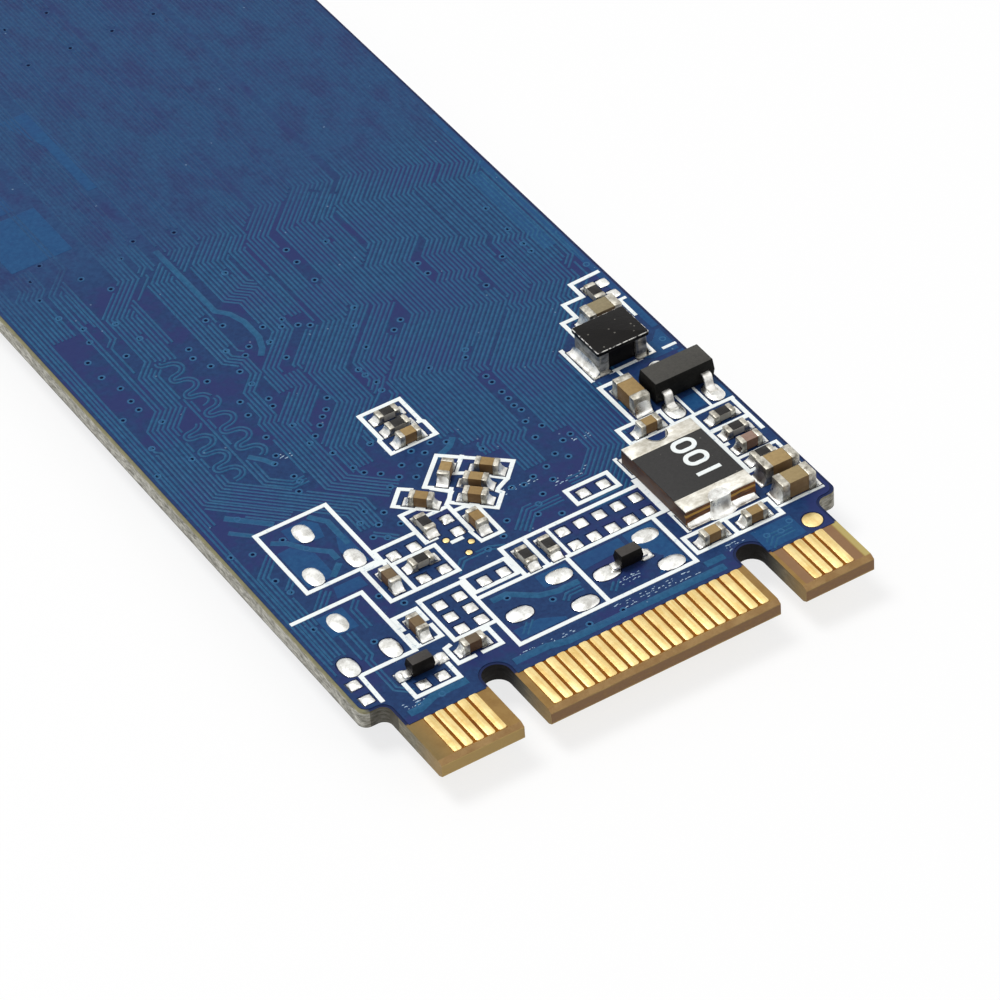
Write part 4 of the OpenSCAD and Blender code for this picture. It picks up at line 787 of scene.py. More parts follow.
POURS = [
    [(-9.0, 12.6), (-9.0, 13.7), (-8.4, 13.75), (-7.75, 12.9), (-7.75, 11.3), (-9.0, 11.3)],
    [(-6.9, 11.3), (-6.9, 12.5), (-6.6, 13.2), (-6.2, 13.2), (-6.2, 11.3)],
    [(-8.2, 13.95), (-8.2, 14.8), (-7.1, 14.8), (-6.75, 14.3), (-6.95, 13.5), (-7.7, 13.6)],
    [(-8.4, 10.1), (-8.2, 10.75), (-7.0, 10.75), (-7.0, 10.1)],
    [(-9.7, 8.3), (-9.7, 9.6), (-8.5, 9.6), (-8.5, 8.3)],
    [(-3.8, 3.95), (-3.8, 4.6), (-2.6, 4.6), (-1.7, 4.1), (-1.7, 3.95)],
    [(-1.5, 5.9), (-1.5, 6.7), (-0.1, 6.7), (-0.1, 5.95)],
    [(0.3, 5.9), (0.3, 6.7), (2.4, 6.7), (2.4, 6.05)],
    [(2.6, 5.8), (2.6, 6.75), (3.95, 6.75), (3.95, 4.0), (2.6, 4.0), (3.3, 4.8)],
    [(6.75, 2.65), (6.75, 3.9), (8.6, 3.9), (8.6, 2.65)],
    [(8.9, 11.3), (8.9, 12.2), (9.7, 12.2), (9.7, 11.3)],
    [(9.0, 15.4), (9.0, 15.9), (10.1, 15.9), (10.6, 16.4), (10.75, 16.4), (10.75, 14.9), (9.6, 14.9)],
    [(-9.2, 35.2), (-9.2, 38.6), (-6.3, 38.6), (-6.3, 35.2)],
    [(-9.9, 38.9), (-9.9, 45.6), (-7.1, 45.6), (-7.1, 38.9)],
    [(-6.9, 45.2), (-6.9, 46.2), (-4.5, 46.2), (-4.5, 44.6), (-3.3, 44.6), (-3.3, 38.2), (-3.9, 38.2),
     (-3.9, 42.0), (-5.0, 45.2)],
    [(10.25, 11.2), (10.25, 11.8), (10.56, 12.3), (10.56, 14.8), (10.85, 14.8), (10.85, 11.2)],
    [(10.54, 16.6), (10.54, 34.0), (10.85, 34.0), (10.85, 16.6)],
    [(9.7, 23.5), (9.7, 29.5), (10.3, 29.5), (10.3, 23.5)],
    [(-9.9, 60.5), (-9.9, 75.5), (-8.7, 75.5), (-8.7, 60.5)],
    [(-4.4, 73.0), (-4.4, 76.4), (5.9, 76.4), (5.9, 76.0), (3.0, 75.6), (2.8, 73.0)],
    [(7.6, 64.0), (7.6, 76.5), (8.7, 76.5), (8.7, 64.0)],
]
LOWER_RUNS = [
    (2, [(-10.6, 6.0), (-10.6, 76)]),
    (2, [(10.4, 6.0), (10.4, 76)]),
    (5, [(-9.9, 30.0), (-9.9, 33.4), (-8.4, 34.9), (-8.4, 54.0), (-9.3, 54.9), (-9.3, 74.5)]),
    (10, [(-6.6, 26.1), (-6.6, 30.4), (-4.9, 32.1), (-4.9, 54.6), (-5.6, 55.3), (-5.6, 74)]),
    (10, [(-2.4, 26.1), (-2.4, 29.5), (-1.0, 30.9), (-1.0, 36), (-1.4, 53), (-1.4, 56)]),
    (9, [(2.6, 26.1), (2.6, 31.0), (3.4, 31.8), (3.4, 56), (4.0, 56.6), (4.0, 75)]),
    (6, [(8.0, 24.0), (8.0, 33.0), (8.9, 33.9), (8.9, 56), (8.2, 56.7), (8.2, 74)]),
    (7, [(-4.8, 9.0), (-4.8, 3.0)]),
    (6, [(-1.9, 4.0), (-1.9, 9.6), (-1.2, 10.3)]),
    (6, [(1.0, 3.2), (1.0, 9.8), (2.2, 11.0)]),
    (3, [(-9.8, 5.4), (-9.8, 12.2), (-9.2, 12.8)]),
    (4, [(8.9, 4.6), (8.9, 9.2), (9.6, 9.9), (9.6, 22.5), (8.9, 23.2)]),
    (4, [(-9.6, 19.6), (-9.6, 24.6), (-8.6, 25.6), (-8.6, 27.4)]),
    (6, [(-7.2, 73.9), (-7.2, 75.6), (-4.4, 77.9)]),
]
LOWER_POURS = [
    [(-10.2, 56.0), (-10.2, 72.0), (-9.5, 72.0), (-9.5, 56.0)],
    [(7.3, 33.6), (7.3, 53.8), (8.6, 53.8), (8.6, 34.2)],
    [(-8.0, 74.6), (-8.0, 79.0), (-3.4, 79.0), (-3.4, 74.6)],
    [(3.4, 75.6), (3.4, 79.0), (9.8, 79.0), (9.8, 75.6)],
    [(4.6, 7.2), (4.6, 10.6), (5.0, 10.6), (5.0, 7.2)],
    [(-6.2, 2.9), (-6.2, 5.4), (-9.6, 5.4), (-9.6, 2.9)],
]
LOWER_VIAS = [(x * 1.15 - 8.6 + 0.3 * (row % 2), y) for row, y in enumerate(
    (5.9, 11.9, 27.6, 28.4, 33.2, 34.0, 54.5, 55.1, 74.7, 75.5)) for x in range(16)]


class Skin:
    """One face of the board: where there is mask, and no other run yet."""

    CELL = 0.3
    STEP = 0.1
    LEVEL_SLACK = 0.004
    MASK_MARGIN = 0.02
    RUN_GAP = 0.015

    def __init__(self, node, under):
        source = cad[node]
        self.tree = BVHTree.FromPolygons([v.co / MM for v in source.data.vertices],
                                         [p.vertices[:] for p in source.data.polygons])
        self.under = under
        self.level = LOW - SKIN if under else UP + SKIN
        self.place = skin_frame(under)
        self.taken = {}

    def covers(self, x, y, margin):
        for dx, dy in ((0, 0), (margin, 0), (-margin, 0), (0, margin), (0, -margin)):
            start_z = self.level + (-1 if self.under else 1)
            hit = self.tree.ray_cast(Vector((x + dx, y + dy + FRONT, start_z)),
                                     Vector((0, 0, 1 if self.under else -1)), 2.0)
            if hit[0] is None or abs(hit[0].z - self.level) > self.LEVEL_SLACK:
                return False
        return True

    def cell(self, point):
        return round(point.x / self.CELL), round(point.y / self.CELL)

    def free(self, point, reach):
        """True where no finished run comes within reach."""
        column, row = self.cell(point)
        for i in (-1, 0, 1):
            for j in (-1, 0, 1):
                for other, width in self.taken.get((column + i, row + j), ()):
                    if (other - point).length < reach + width:
                        return False
        return True

    def take(self, points, reach):
        for a, b in zip(points, points[1:]):
            count = max(1, math.ceil((b - a).length / self.STEP))
            for i in range(count + 1):
                here = a.lerp(b, i / count)
                self.taken.setdefault(self.cell(here), []).append((here, reach))

    def kept(self, points, reach, least):
        """The stretches of a path that lie on mask and cross nothing."""
        stretches = []
        current = []
        for a, b in zip(points, points[1:]):
            count = max(1, math.ceil((b - a).length / self.STEP))
            for i in range(count + 1):
                here = a.lerp(b, i / count)
                on_mask = self.covers(here.x, here.y, reach + self.MASK_MARGIN)
                if not (on_mask and self.free(here, reach + self.RUN_GAP)):
                    if len(current) > 1:
                        stretches.append(current)
                    current = []
                elif i in (0, 1) or not current:
                    if not current or (current[-1] - here).length > 1e-4:
                        current.append(here)
                elif len(current) > 1:
                    current[-1] = here
                else:
                    current.append(here)
        if len(current) > 1:
            stretches.append(current)
        return [path for path in stretches if sum((q - p).length for p, q in zip(path, path[1:])) > least]


def beside(points, shift):
    """The path a bundle's next line takes, to the right of the first."""
    path = []
    last = len(points) - 1
    for index, here in enumerate(points):
        ahead = (points[min(index + 1, last)] - points[min(index, last - 1)]).normalized()
        behind = (points[max(index, 1)] - points[max(index - 1, 0)]).normalized()
        bend = Vector((ahead.y + behind.y, -ahead.x - behind.x)) / (1 + ahead.dot(behind))
        path.append(here + bend * shift)
    return path


def lay_run(bm, skin, path, width, least):
    section = [(a * width / RUN_WIDTH, b) for a, b in RIB]
    for stretch in skin.kept(path, width / 2, least):
        skin.take(stretch, width / 2)
        sweep(bm, [point.to_3d() for point in stretch], section, (0, 0, 1))


def lay_bundle(bm, skin, points, lines, least):
    for line in lines:
        path = beside([Vector(point) for point in points], line * RUN_PITCH)
        lay_run(bm, skin, path, RUN_WIDTH, least)


def lay_runs(bm, skin, runs, thick, vias):
    """Lays the named runs, then fills the room beside each bundle with more of its lines."""
    for width, points in thick:
        lay_run(bm, skin, [Vector(point) for point in points], width, SHORTEST_RUN)
    for count, points in runs:
        lay_bundle(bm, skin, points, range(count), SHORTEST_RUN)
    for x, y in vias:
        skin.take([Vector((x - 0.03, y)), Vector((x + 0.03, y))], VIA_REACH)
    for count, points in runs:
        if count > 2:
            lay_bundle(bm, skin, points, [*range(count, count + FILL_LINES), -1], SHORTEST_FILL)


def meander(x, low, high, length, swing):
    """A length-matching run: its heading swings from side to side as it goes."""
    stride = 0.09
    y = low
    points = []
    walked = 0.0
    while y < high:
        points.append((x, y))
        heading = swing * math.cos(walked * math.tau / length)
        x += stride * math.sin(heading)
        y += stride * math.cos(heading)
        walked += stride
    return points


def build_copper(name, node, under, runs, thick, pours, vias):
    """One face's copper as three pieces, for its runs, pours and vias."""
    skin = Skin(node, under)
    bm = bmesh.new()
    lay_runs(bm, skin, runs, thick, vias)
    bmesh.ops.transform(bm, matrix=skin.place, verts=bm.verts)
    piece(name + "_runs", bm, [MASK_COPPER], sharp=1.2)

    bm = bmesh.new()
    for outline in pours:
        put(bm, stamp_mesh(prism(outline, -POUR_SUNK, POUR_PROUD, POUR_RIM)), skin.place)
    piece(name + "_pours", bm, [MASK_POUR], sharp=0.3)

    ring = stamp_mesh(turned(VIA_RING, 12))
    # The dimple over the hole takes the painted shade
    for polygon in ring.polygons:
        if polygon.center.xy.length < VIA_HOLE:
            polygon.material_index = 1
    bm = bmesh.new()
    for x, y in vias:
        if skin.covers(x, y, VIA_ROOM):
            put(bm, ring, skin.place @ Matrix.Translation((x, y, 0)))
    piece(name + "_vias", bm, [MASK_RING, VIA_SHADE])


WOUND_RUNS = [
    (2, meander(-8.15, 18.6, 22.4, 2.3, 1.5)),
    (2, meander(-6.75, 19.2, 23.4, 2.3, 1.45)),
    (2, meander(-6.9, 23.2, 26.6, 2.1, 1.4)),
]
FAR_VIAS = [(-8.0 + 2.1 * i + 0.4 * (j % 2), 47.5 + 2.9 * j) for i in range(8) for j in range(10)]
build_copper("upper", "upper_solder_mask", False, WOUND_RUNS + UPPER_RUNS, THICK_RUNS, POURS,
             VIAS + FAR_VIAS)
build_copper("lower", "lower_solder_mask", True, LOWER_RUNS, [], LOWER_POURS, LOWER_VIAS)


# Pale beads painted as glints off the edges of runs, in short rows: middle and half length

GLINT_ROWS = [
    (-3.2, 3.2, 1.3), (2.0, 3.35, 1.9), (5.9, 3.7, 0.5), (2.9, 10.9, 0.8), (0.9, 11.6, 0.9),
    (-5.7, 18.6, 0.3), (1.6, 4.5, 0.6), (-7.2, 4.0, 0.5), (4.5, 12.6, 0.4), (9.3, 14.4, 0.6),
    (-9.0, 3.4, 0.6),
]
GLINT_LINES = (-0.16, 0.0, 0.13)
GLINTS_PER_MM = 26
bead = stamp_mesh(turned([(0.0, 0.01), (0.012, 0.008), (0.02, -0.004), (0.0, -0.004)], 6))
upper_skin = Skin("upper_solder_mask", False)
bm = bmesh.new()
for x, y, reach in GLINT_ROWS:
    for _ in range(int(GLINTS_PER_MM * reach) + 6):
        row = dice.choice(GLINT_LINES)
        at = Vector((x + reach * dice.uniform(-1, 1), y + row + 0.03 * dice.uniform(-1, 1)))
        if upper_skin.covers(at.x, at.y, 0.05):
            drawn_out = Matrix.Diagonal((dice.uniform(1.0, 4.5), 1.2, 1, 1))
            put(bm, bead, upper_skin.place @ Matrix.Translation((at.x, at.y, 0)) @ drawn_out)
piece("glint_beads", bm, [BEAD_GLINT])


# Contacts and gold dots

UPPER_PINS = [*range(2, 11, 2), *range(20, 59, 2), *range(68, 75, 2)]
LOWER_PINS = [*range(1, 12, 2), *range(21, 58, 2), *range(67, 76, 2)]
MIDDLE_PIN = 38
PIN_STEP = 0.25
CONTACT_W, CONTACT_L, CONTACT_ROUND = 0.37, 2.25, 0.09
CONTACT_Y = 0.26 + CONTACT_L / 2
GOLD_T, GOLD_RIM = 0.04, 0.014
TARGET_R, DOT_R = 0.425, 0.14


def pin_x(number):
    """Pins are numbered over both faces, so those of one face stand two steps apart."""
    return (number - MIDDLE_PIN) * PIN_STEP


def build_contacts(name, node, pins, under):
    finger = stamp_mesh(slab(CONTACT_W, CONTACT_L, 0.0, GOLD_T, CONTACT_ROUND, GOLD_RIM, both=False))
    bm = bmesh.new()
    base = Matrix.Translation((0, 0, LOW if under else UP))
    if under:
        base = base @ Matrix.Scale(-1, 4, (0, 0, 1))
    for pin in pins:
        put(bm, finger, base @ Matrix.Translation((pin_x(pin), CONTACT_Y + FRONT, 0)))
    piece(name, bm, [GOLD], [node])


build_contacts("upper_contact_fingers", "upper_edge_contacts", UPPER_PINS, False)
build_contacts("lower_contact_fingers", "lower_edge_contacts", LOWER_PINS, True)

bm = bmesh.new()
for (x, y), radius in [(FIDUCIAL, TARGET_R)] + [(spot, DOT_R) for spot in GOLD_DOTS]:
    rim = [(radius - 0.035, GOLD_T), (radius - 0.008, 0.03), (radius, 0.0)]
    disc = stamp_mesh(turned([(0.0, GOLD_T), *rim, (0.0, 0.0)], 32))
    put(bm, disc, Matrix.Translation((x, y + FRONT, UP)))
piece("gold_targets", bm, [GOLD], ["gold_dots"])


# Bare lands with their solder

def pillow(width, length, round_off, height):
    """A land with solder drawn into a dome, its corners rounded by round_off."""
    bm = bmesh.new()
    bmesh.ops.create_grid(bm, x_segments=8, y_segments=8, size=1.0)
    for vert in bm.verts:
        u, v, _ = vert.co
        crown = max(0.0, (1 - u * u) * (1 - v * v)) ** 0.55
        vert.co = (width / 2 * u * (1 - round_off * v * v), length / 2 * v * (1 - round_off * u * u),
                   LAND * 0.8 + height * crown)
    wall_down(bm)
    return bm


def uneven(amount):
    return Matrix.Diagonal((1, 1, 1 - amount * dice.random(), 1))


DOME = 0.13
square_land = stamp_mesh(pillow(*SQUARE, DOME))
bm = bmesh.new()
for x, y in BARE_LANDS:
    put(bm, square_land, Matrix.Translation((x, y + FRONT, UP)) @ uneven(0.3))
piece("square_lands", bm, [TIN], ["small_bare_lands"])

oval_land = stamp_mesh(pillow(*OVAL, DOME))
bm = bmesh.new()
for x, y, turn in FOOTPRINTS:
    stand = Matrix.Translation((x, y + FRONT, UP)) @ Matrix.Rotation(math.radians(turn), 4, "Z")
    for dx, dy in OVAL_PLACES:
        put(bm, oval_land, stand @ Matrix.Translation((dx, dy, 0)) @ uneven(0.2))
piece("oval_lands", bm, [TIN], ["oval_bare_lands"])


# Chip parts

def heap(reach, width, height):
    """Solder climbing a part's end: highest at x = 0, thin at its toe."""
    toe = 0.025
    bm = bmesh.new()
    bmesh.ops.create_grid(bm, x_segments=6, y_segments=6, size=1.0)
    for vert in bm.verts:
        u = (vert.co.x + 1) / 2
        v = vert.co.y
        climb = (1 - u) ** 2.3 * (1 - 0.45 * v ** 4)
        vert.co = (u * reach * (1 - 0.16 * v * v), v * width / 2 * (1 - 0.04 * u * u),
                   toe + climb * (height - toe))
    wall_down(bm)
    return bm


def end_stamps(size):
    length, width, height, band = size
    cap = stamp_mesh(slab(band, width, 0.0, height, 0.0, 0.045))
    rise = stamp_mesh(heap(SOLDER_OUT, width * 0.98, height * 0.8))
    return cap, rise, (length - band) / 2, length / 2


HALF_TURN = Matrix.Rotation(math.pi, 4, "Z")


def build_chips(prefix, kinds, under, end_nodes, solder_node):
    """Metal ends and solder of one face's chips, each kind from its own stamps."""
    ends = bmesh.new()
    solder = bmesh.new()
    for places, size in kinds:
        cap, rise, cap_x, rise_x = end_stamps(size)
        for x, y, turn in places:
            place = site(x, y, turn, under)
            for side in (Matrix.Identity(4), HALF_TURN):
                put(ends, cap, place @ side @ Matrix.Translation((cap_x, 0, 0)))
                put(solder, rise, place @ side @ Matrix.Translation((rise_x, 0, 0)) @ uneven(0.35))
    piece(prefix + "_chip_ends", ends, [SILVER], end_nodes)
    if under:
        add_foot_solder(solder, CHOKE, 90, True)
    piece(prefix + "_chip_solder", solder, [TIN], [solder_node])


def add_foot_solder(bm, spot, turn, under):
    rise = stamp_mesh(heap(SOLDER_OUT + FOOT_INSET, COIL_W, FOOT_WET * 0.82))
    place = site(*spot, turn, under)
    for side in (Matrix.Identity(4), HALF_TURN):
        put(bm, rise, place @ side @ Matrix.Translation((COIL_L / 2 - FOOT_INSET, 0, 0)))


def build_bodies(name, kinds, under, material, nodes):
    bm = bmesh.new()
    for places, (length, width, height, band), shades in kinds:
        body = stamp_mesh(slab(length - 2 * band + 0.02, width - 2 * PROUD, PROUD, height - PROUD,
                               0.0, 0.025))
        for index, (x, y, turn) in enumerate(places):
            put(bm, body, site(x, y, turn, under), shades[index % len(shades)])
    piece(name, bm, [material], nodes)


build_bodies("upper_small_ceramics", [(SMALL_CAPS, CAP, [
    0.1, 0.3, 0.45, 0.35, 0.4, 0.3, 0.35, 0.42, 0.12, 0.05, 0.4, 0.5, 0.38, 0.98])],
    False, CERAMIC, ["small_capacitor_bodies"])
build_bodies("upper_large_ceramics", [(LARGE_CAPS, LARGE, [0.4, 0.52, 0.6, 0.78])],
             False, CERAMIC, ["large_capacitor_bodies"])
build_bodies("lower_small_ceramics", [(LOW_CAPS, CAP, [0.35, 0.45, 0.3, 0.5])],
             True, CERAMIC, ["lower_capacitor_bodies"])
build_bodies("lower_large_ceramics", [(LOW_LARGE, LARGE, [0.45, 0.5])],
             True, CERAMIC, ["lower_large_bodies"])
build_bodies("upper_resistor_ceramics", [(RESISTORS, RESISTOR, [0.2, 0.7, 0.5])],
             False, WHITE_CERAMIC, ["resistor_bodies"])
build_bodies("lower_resistor_ceramics", [(LOW_RESISTORS, RESISTOR, [0.2, 0.7, 0.5])],
             True, WHITE_CERAMIC, ["lower_resistor_bodies"])


def build_coats(name, places, under, node):
    length, width, height, band = RESISTOR
    coat = stamp_mesh(slab(length - 2 * band - 0.01, width - 4 * PROUD, height - 0.04, height, 0.0, 0.012))
    bm = bmesh.new()
    for x, y, turn in places:
        put(bm, coat, site(x, y, turn, under))
    piece(name, bm, [COAT], [node])


build_coats("upper_resistor_tops", RESISTORS, False, "resistor_coats")
build_coats("lower_resistor_tops", LOW_RESISTORS, True, "lower_resistor_coats")
build_chips("upper", [(SMALL_CAPS, CAP), (RESISTORS, RESISTOR), (LARGE_CAPS, LARGE)], False,
            ["small_capacitor_ends", "large_capacitor_ends", "resistor_ends"], "chip_solder")
build_chips("lower", [(LOW_CAPS, CAP), (LOW_RESISTORS, RESISTOR), (LOW_LARGE, LARGE)], True,
            ["lower_capacitor_ends", "lower_large_ends", "lower_resistor_ends"], "lower_solder")


# Resettable fuse

FUSE_L, FUSE_W, FUSE_H, FUSE_BAND, GROOVE, FOIL_T = 4.6, 3.3, 0.75, 0.78, 0.44, 0.05


def groove_arc(cy, radius, begin, end):
    """Half a circle on the fuse's centre line, as the groove in its end."""
    steps = 14
    turns = [math.radians(begin + (end - begin) * i / steps) for i in range(steps + 1)]
    return [(radius * math.cos(turn), cy + radius * math.sin(turn)) for turn in turns]


def fuse_outline(groove):
    half_w, half_l = FUSE_W / 2, FUSE_L / 2
    near = [(-half_w, -half_l), *groove_arc(-half_l, groove, 180, 0), (half_w, -half_l)]
    far = [(half_w, half_l), *groove_arc(half_l, groove, 0, -180), (-half_w, half_l)]
    return near + far


def band_outline(sign):
    half_w, half_l = FUSE_W / 2, FUSE_L / 2
    inner = half_l - FUSE_BAND
    points = [(half_w, inner), (half_w, half_l), *groove_arc(half_l, GROOVE, 0, -180),
              (-half_w, half_l), (-half_w, inner)]
    return points if sign > 0 else [(x, -y) for x, y in points]


stand = site(*FUSE)
bm = bmesh.new()
put(bm, stamp_mesh(prism(fuse_outline(GROOVE + FOIL_T), FOIL_T, FUSE_H - FOIL_T)), stand)
piece("fuse_body", bm, [FUSE_LAYERS], ["fuse_laminate"])

bm = bmesh.new()
coat = slab(FUSE_W - 0.02, FUSE_L - 2 * FUSE_BAND, FUSE_H - 0.06, FUSE_H - 0.002, 0.0, 0.012)
put(bm, stamp_mesh(coat), stand)
piece("fuse_top_coat", bm, [FUSE_COAT], ["fuse_coat"])

bm = bmesh.new()
for sign in (-1, 1):
    for low, high in ((0.0, FOIL_T), (FUSE_H - FOIL_T, FUSE_H)):
        put(bm, stamp_mesh(prism(band_outline(sign), low, high, 0.012 if low else 0.0)), stand)
    rim = bmesh.new()
    points = [(-GROOVE - FOIL_T, 0.0), (-GROOVE, 0.0), (-GROOVE, FUSE_H), (-GROOVE - FOIL_T, FUSE_H)]
    face = rim.faces.new([rim.verts.new((x, 0, z)) for x, z in points])
    bmesh.ops.spin(rim, geom=[*rim.verts, *rim.edges, face], cent=(0, 0, 0), axis=(0, 0, 1),
                   dvec=(0, 0, 0), angle=math.pi * sign, steps=16, use_merge=False)
    put(bm, stamp_mesh(rim), stand @ Matrix.Translation((0, sign * FUSE_L / 2, 0)))
piece("fuse_foil_bands", bm, [FOIL], ["fuse_foils"])


def groove_fill():
    """Solder standing in the near groove, lapped over its rim and running out at its foot."""
    bm = turned([(0.0, 0.0), (0.8, 0.0), (0.66, 0.05), (0.55, 0.13), (0.48, 0.28), (0.44, 0.48),
                 (0.43, 0.66), (0.5, FUSE_H + 0.012), (0.44, FUSE_H + 0.035), (0.25, FUSE_H + 0.02),
                 (0.0, FUSE_H)], 32)
    for vert in bm.verts:
        flat = vert.co.xy.length
        if vert.co.y > 0.001 and vert.co.z < FUSE_H:
            vert.co.xy *= min(1.0, (GROOVE - 0.005) / max(flat, 0.01))
        elif vert.co.y < 0.001:
            vert.co.y *= 0.24 + 0.3 * max(0.0, 1 - vert.co.z / 0.5) ** 1.5
    return bm


bm = bmesh.new()
put(bm, stamp_mesh(groove_fill()), stand @ Matrix.Translation((0, -FUSE_L / 2, 0)))
foot = stamp_mesh(heap(SOLDER_OUT, FUSE_W * 0.96, 0.2))
quarter = Matrix.Rotation(math.pi / 2, 4, "Z")
put(bm, foot, stand @ Matrix.Translation((0, FUSE_L / 2, 0)) @ quarter)
put(bm, foot, stand @ Matrix.Translation((0, -FUSE_L / 2, 0)) @ quarter.inverted())
piece("fuse_joint", bm, [TIN], ["fuse_solder"])


# Wound inductors, one on each face

def build_coil(name, spot, turn, under, nodes):
    place = site(*spot, turn, under)
    plate = slab(COIL_L, COIL_W, COIL_UNDER, COIL_H, 0.08, 0.03)
    # Bevel faces of the top take the rim of pale wear and painted highlight
    for face in plate.faces:
        if face.calc_center_median().z > COIL_UNDER + 0.1 and 0.3 < face.normal.z < 0.97:
            face.material_index = 1
    bm = bmesh.new()
    put(bm, stamp_mesh(plate), place)
    piece(name + "_top", bm, [FERRITE, RIM_WEAR_GLINT], [nodes[0]])
    bm = bmesh.new()
    put(bm, stamp_mesh(slab(COIL_L - 2 * FOOT_L - 2 * FOOT_INSET, COIL_W - 2 * CORE_INSET,
                            0.03, COIL_UNDER, 0.0, 0.0)), place)
    piece(name + "_middle", bm, [FERRITE], [nodes[1]])
    bm = bmesh.new()
    foot = stamp_mesh(slab(FOOT_L, COIL_W - 2 * FOOT_INSET, 0.0, COIL_UNDER, 0.13, 0.0))
    for side in (-1, 1):
        put(bm, foot, place @ Matrix.Translation((side * ((COIL_L - FOOT_L) / 2 - FOOT_INSET), 0, 0)))
    piece(name + "_feet", bm, [FOOT], [nodes[2]])


build_coil("inductor", COIL, 0, False, ("inductor_plate", "inductor_core", "inductor_feet"))
build_coil("choke", CHOKE, 90, True, ("choke_plate", "choke_core", "choke_feet"))
bm = bmesh.new()
add_foot_solder(bm, COIL, 0, False)
piece("inductor_joint", bm, [TIN], ["inductor_solder"])


# Moulded parts with bent leads

# The three-lead case: length, width, underside, top, mould draft and softened rim
CASE = (2.9, 1.3, 0.08, 1.1, 0.07, 0.03)
LEAD_W, LEAD_HALF, LEAD_TOP = 0.4, 0.06, 0.59
DIODE_L, DIODE_W, DIODE_LOW, DIODE_H = 1.05, 0.62, 0.12, 0.76
TAB_L, TAB_OUT, TAB_TOP = 0.34, 0.1, 0.25


def moulded(length, width, low, high, draft, edge):
    """A case that is widest at half height, where the mould parted."""
    bm = slab(length - 2 * draft, width - 2 * draft, low, high, 0.0, 0.0)
    middle = (low + high) / 2
    bmesh.ops.bisect_plane(bm, geom=[*bm.verts, *bm.edges, *bm.faces],
                           plane_co=(0, 0, middle), plane_no=(0, 0, 1))
    for vert in bm.verts:
        if abs(vert.co.z - middle) < 1e-4:
            vert.co.x += math.copysign(draft, vert.co.x)
            vert.co.y += math.copysign(draft, vert.co.y)
    bevel(bm, [e for e in bm.edges if e.calc_face_angle(0) > 0.6], edge, 2)
    bmesh.ops.dissolve_degenerate(bm, dist=1e-4, edges=bm.edges)
    return bm


def lead(start_y, middle, width):
    """A flat lead: out of the case, down in an S, and flat on its land."""
    bm = bmesh.new()
    half = LEAD_HALF
    path = [(start_y - 0.1, middle), (start_y + 0.07, middle), (start_y + 0.13, middle - 0.03),
            (start_y + 0.17, middle - 0.1), (start_y + 0.25, 0.2), (start_y + 0.29, 0.11),
            (start_y + 0.36, half + 0.005), (start_y + 0.62, half + 0.002)]
    wide = width / 2
    cut = 0.02
    section = [(-half, -wide + cut), (-half + cut, -wide), (half - cut, -wide), (half, -wide + cut),
               (half, wide - cut), (half - cut, wide), (-half + cut, wide), (-half, wide - cut)]
    sweep(bm, [Vector((0, y, z)) for y, z in path], section, (1, 0, 0))
    return bm


def build_transistor(name, spot, under, nodes):
    place = site(*spot, 0, under)
    bm = bmesh.new()
    put(bm, stamp_mesh(moulded(*CASE)), place)
    piece(name + "_body", bm, [EPOXY], [nodes[0]])
    bm = bmesh.new()
    one = stamp_mesh(lead(CASE[1] / 2, LEAD_TOP, LEAD_W))
    put(bm, one, place)
    for x in (-LEAD_PITCH, LEAD_PITCH):
        put(bm, one, place @ Matrix.Translation((x, 0, 0)) @ HALF_TURN)
    mound = stamp_mesh(pillow(*OVAL, 0.09))
    for x, y in OVAL_PLACES:
        put(bm, mound, place @ Matrix.Translation((x, y, -LAND)), material=1)
    piece(name + "_legs", bm, [LEG, TIN], [nodes[1]])


build_transistor("transistor", TRANSISTOR, False, ("transistor_case", "transistor_leads"))
build_transistor("regulator", REGULATOR, True, ("regulator_case", "regulator_leads"))

cases = bmesh.new()
tabs = bmesh.new()
case = stamp_mesh(moulded(DIODE_L, DIODE_W, DIODE_LOW, DIODE_H, 0.06, 0.015))
tab = stamp_mesh(slab(TAB_L, DIODE_W * 0.6, DIODE_LOW, TAB_TOP, 0.0, 0.03))
for x, y in DIODES:
    put(cases, case, site(x, y))
    for side in (-1, 1):
        put(tabs, tab, site(x + side * (DIODE_L / 2 + TAB_OUT), y))
mound = stamp_mesh(pillow(0.56, 0.56, 0.14, 0.2))
for x, y in DIODE_LANDS:
    put(tabs, mound, Matrix.Translation((x, y + FRONT, UP)), material=1)
piece("diode_bodies", cases, [GLOSSY], ["diode_cases"])
piece("diode_tabs", tabs, [LEG, TIN], ["diode_leads"])


# Solder balls under the array packages

BALL = [(0.0, 0.0), (0.13, 0.0), (0.2, 0.06), (0.2, 0.14), (0.13, 0.2), (0.0, 0.2)]


def build_balls(name, y, columns, rows, pitch, inner, node):
    """A ring of balls round the package's rim, and a block of them under its middle."""
    ball = stamp_mesh(turned(BALL, 10))
    bm = bmesh.new()
    for i in range(columns):
        for j in range(rows):
            x, across = (i - (columns - 1) / 2), (j - (rows - 1) / 2)
            rim = i in (0, columns - 1) or j in (0, rows - 1)
            if rim or (abs(x) < inner and abs(across) < inner):
                place = Matrix.Translation((x * pitch, y + FRONT + across * pitch, LOW - SKIN))
                put(bm, ball, place @ Matrix.Scale(-1, 4, (0, 0, 1)))
    piece(name, bm, [TIN], [node])


build_balls("controller_joints", CTRL_Y, 14, 14, 0.8, 2, "controller_balls")
build_balls("inner_flash_joints", INNER_Y, 13, 17, 1.0, 1.6, "inner_flash_balls")
build_balls("outer_flash_joints", OUTER_Y, 13, 17, 1.0, 1.6, "outer_flash_balls")


# Finishes on the pieces that keep their solids

def dress(material, *names):
    for name in names:
        for slot in cad[name].material_slots:
            slot.material = material


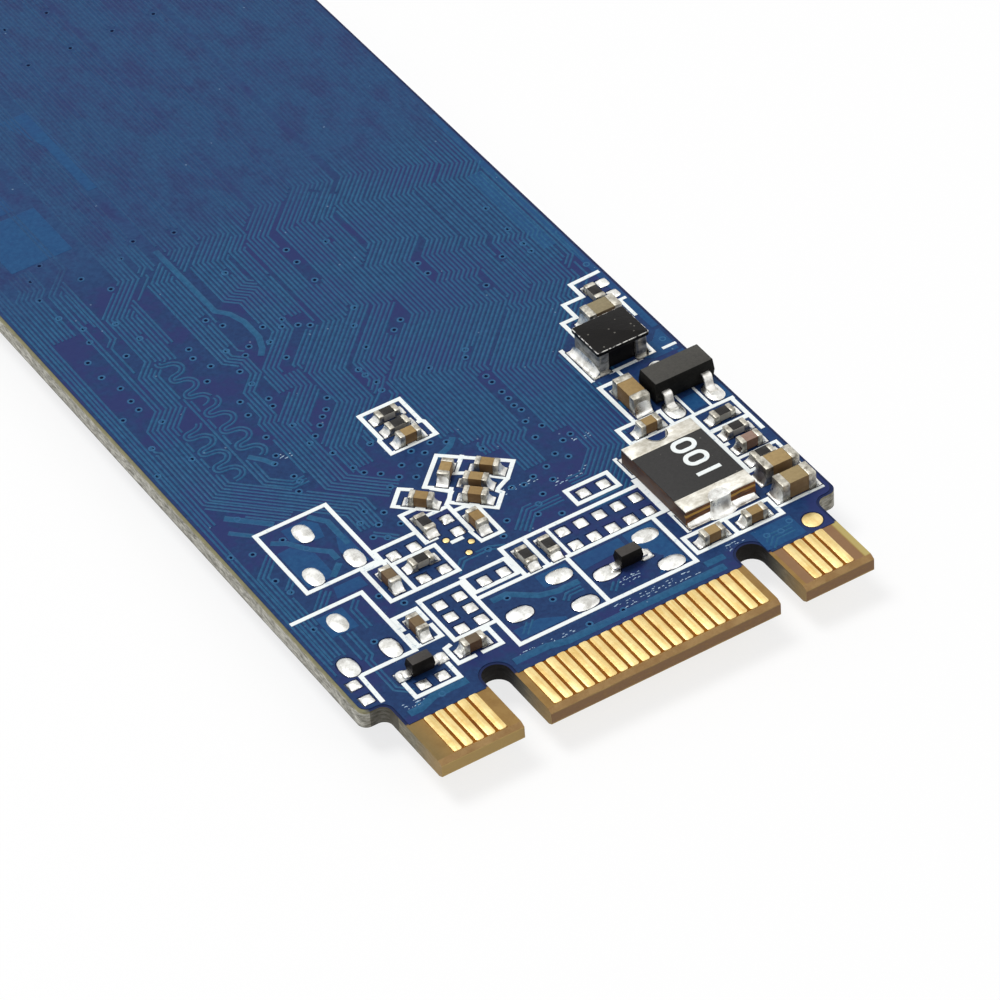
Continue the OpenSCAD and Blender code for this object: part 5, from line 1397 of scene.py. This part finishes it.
dress(LAMINATE, "laminate")
dress(MASK, "upper_solder_mask", "lower_solder_mask")
dress(INK, "upper_legend", "lower_legend", "fuse_digits")
dress(TIN, "upper_part_lands", "lower_part_lands", "screw_notch_plating")
dress(PACKAGE, "controller_case", "inner_flash_case", "outer_flash_case")
dress(WHITE_CERAMIC, "crystal_base")
dress(LID, "crystal_lid")


# Floor, light and camera

FLOOR_HALF = 3.0
FLOOR_DROP = 0.03


def floor_material():
    """A plain pale floor that shows nearly white, and keeps a light shadow."""
    made, tree, shader, where = start("studio_floor", Roughness=0.9, Specular_IOR_Level=0.1)
    pale = mixed(tree, noise(tree, where, 6.0), tone(249, 249, 249), tone(252, 252, 252))
    feed(tree, pale, shader["Base Color"])
    glow = add(tree, "Emission", {"Color": (1.0, 1.0, 1.0, 1.0), "Strength": 1.0})
    both = add(tree, "MixShader", {0: times(tree, seen_directly(tree), 0.78)})
    out = next(node for node in tree.nodes if node.type == "OUTPUT_MATERIAL")
    tree.links.new(out.inputs["Surface"].links[0].from_socket, both.inputs[1])
    tree.links.new(glow.outputs[0], both.inputs[2])
    tree.links.new(both.outputs[0], out.inputs["Surface"])
    return made


bm = bmesh.new()
bmesh.ops.create_grid(bm, x_segments=1, y_segments=1, size=FLOOR_HALF)
bmesh.ops.translate(bm, verts=bm.verts, vec=(0, 0, -FLOOR_DROP * MM))
mesh = bpy.data.meshes.new("floor")
bm.to_mesh(mesh)
bm.free()
mesh.materials.append(floor_material())
floor = bpy.data.objects.new("floor", mesh)
bpy.context.scene.collection.objects.link(floor)


def area_lamp(name, at, size, power):
    data = bpy.data.lights.new(name, "AREA")
    data.shape = "SQUARE"
    data.size = size
    data.energy = power
    lamp = bpy.data.objects.new(name, data)
    lamp.location = at
    lamp.rotation_euler = (-Vector(at)).to_track_quat("-Z", "Y").to_euler()
    bpy.context.scene.collection.objects.link(lamp)


area_lamp("key_lamp", (-0.2, 0.15, 0.7), 0.3, 3.5)
area_lamp("fill_lamp", (0.45, -0.45, 0.5), 0.5, 0.7)

world = bpy.data.worlds.new("studio")
bpy.context.scene.world = world
world.use_nodes = True
tree = world.node_tree
tree.nodes.clear()
strength = span(tree, seen_directly(tree), 0.0, 1.0, 0.4, 1.0)
sky = add(tree, "Background", {"Color": (1.0, 1.0, 1.0, 1.0), "Strength": strength})
tree.links.new(sky.outputs[0], add(tree, "OutputWorld").inputs["Surface"])

# The photo's own camera, found from the board's known corners
camera_data = bpy.data.cameras.new("camera")
camera_data.sensor_width = 36.0
camera_data.lens = 198.59
camera_data.clip_start = 0.01
camera_data.clip_end = 20.0
camera = bpy.data.objects.new("camera", camera_data)
camera.location = (-0.080638, -0.170499, 0.146968)
camera.rotation_euler = [math.radians(turn) for turn in (48.29488, 3.07058, -32.30799)]
bpy.context.scene.collection.objects.link(camera)
bpy.context.scene.camera = camera
bpy.context.scene.view_settings.view_transform = "Standard"
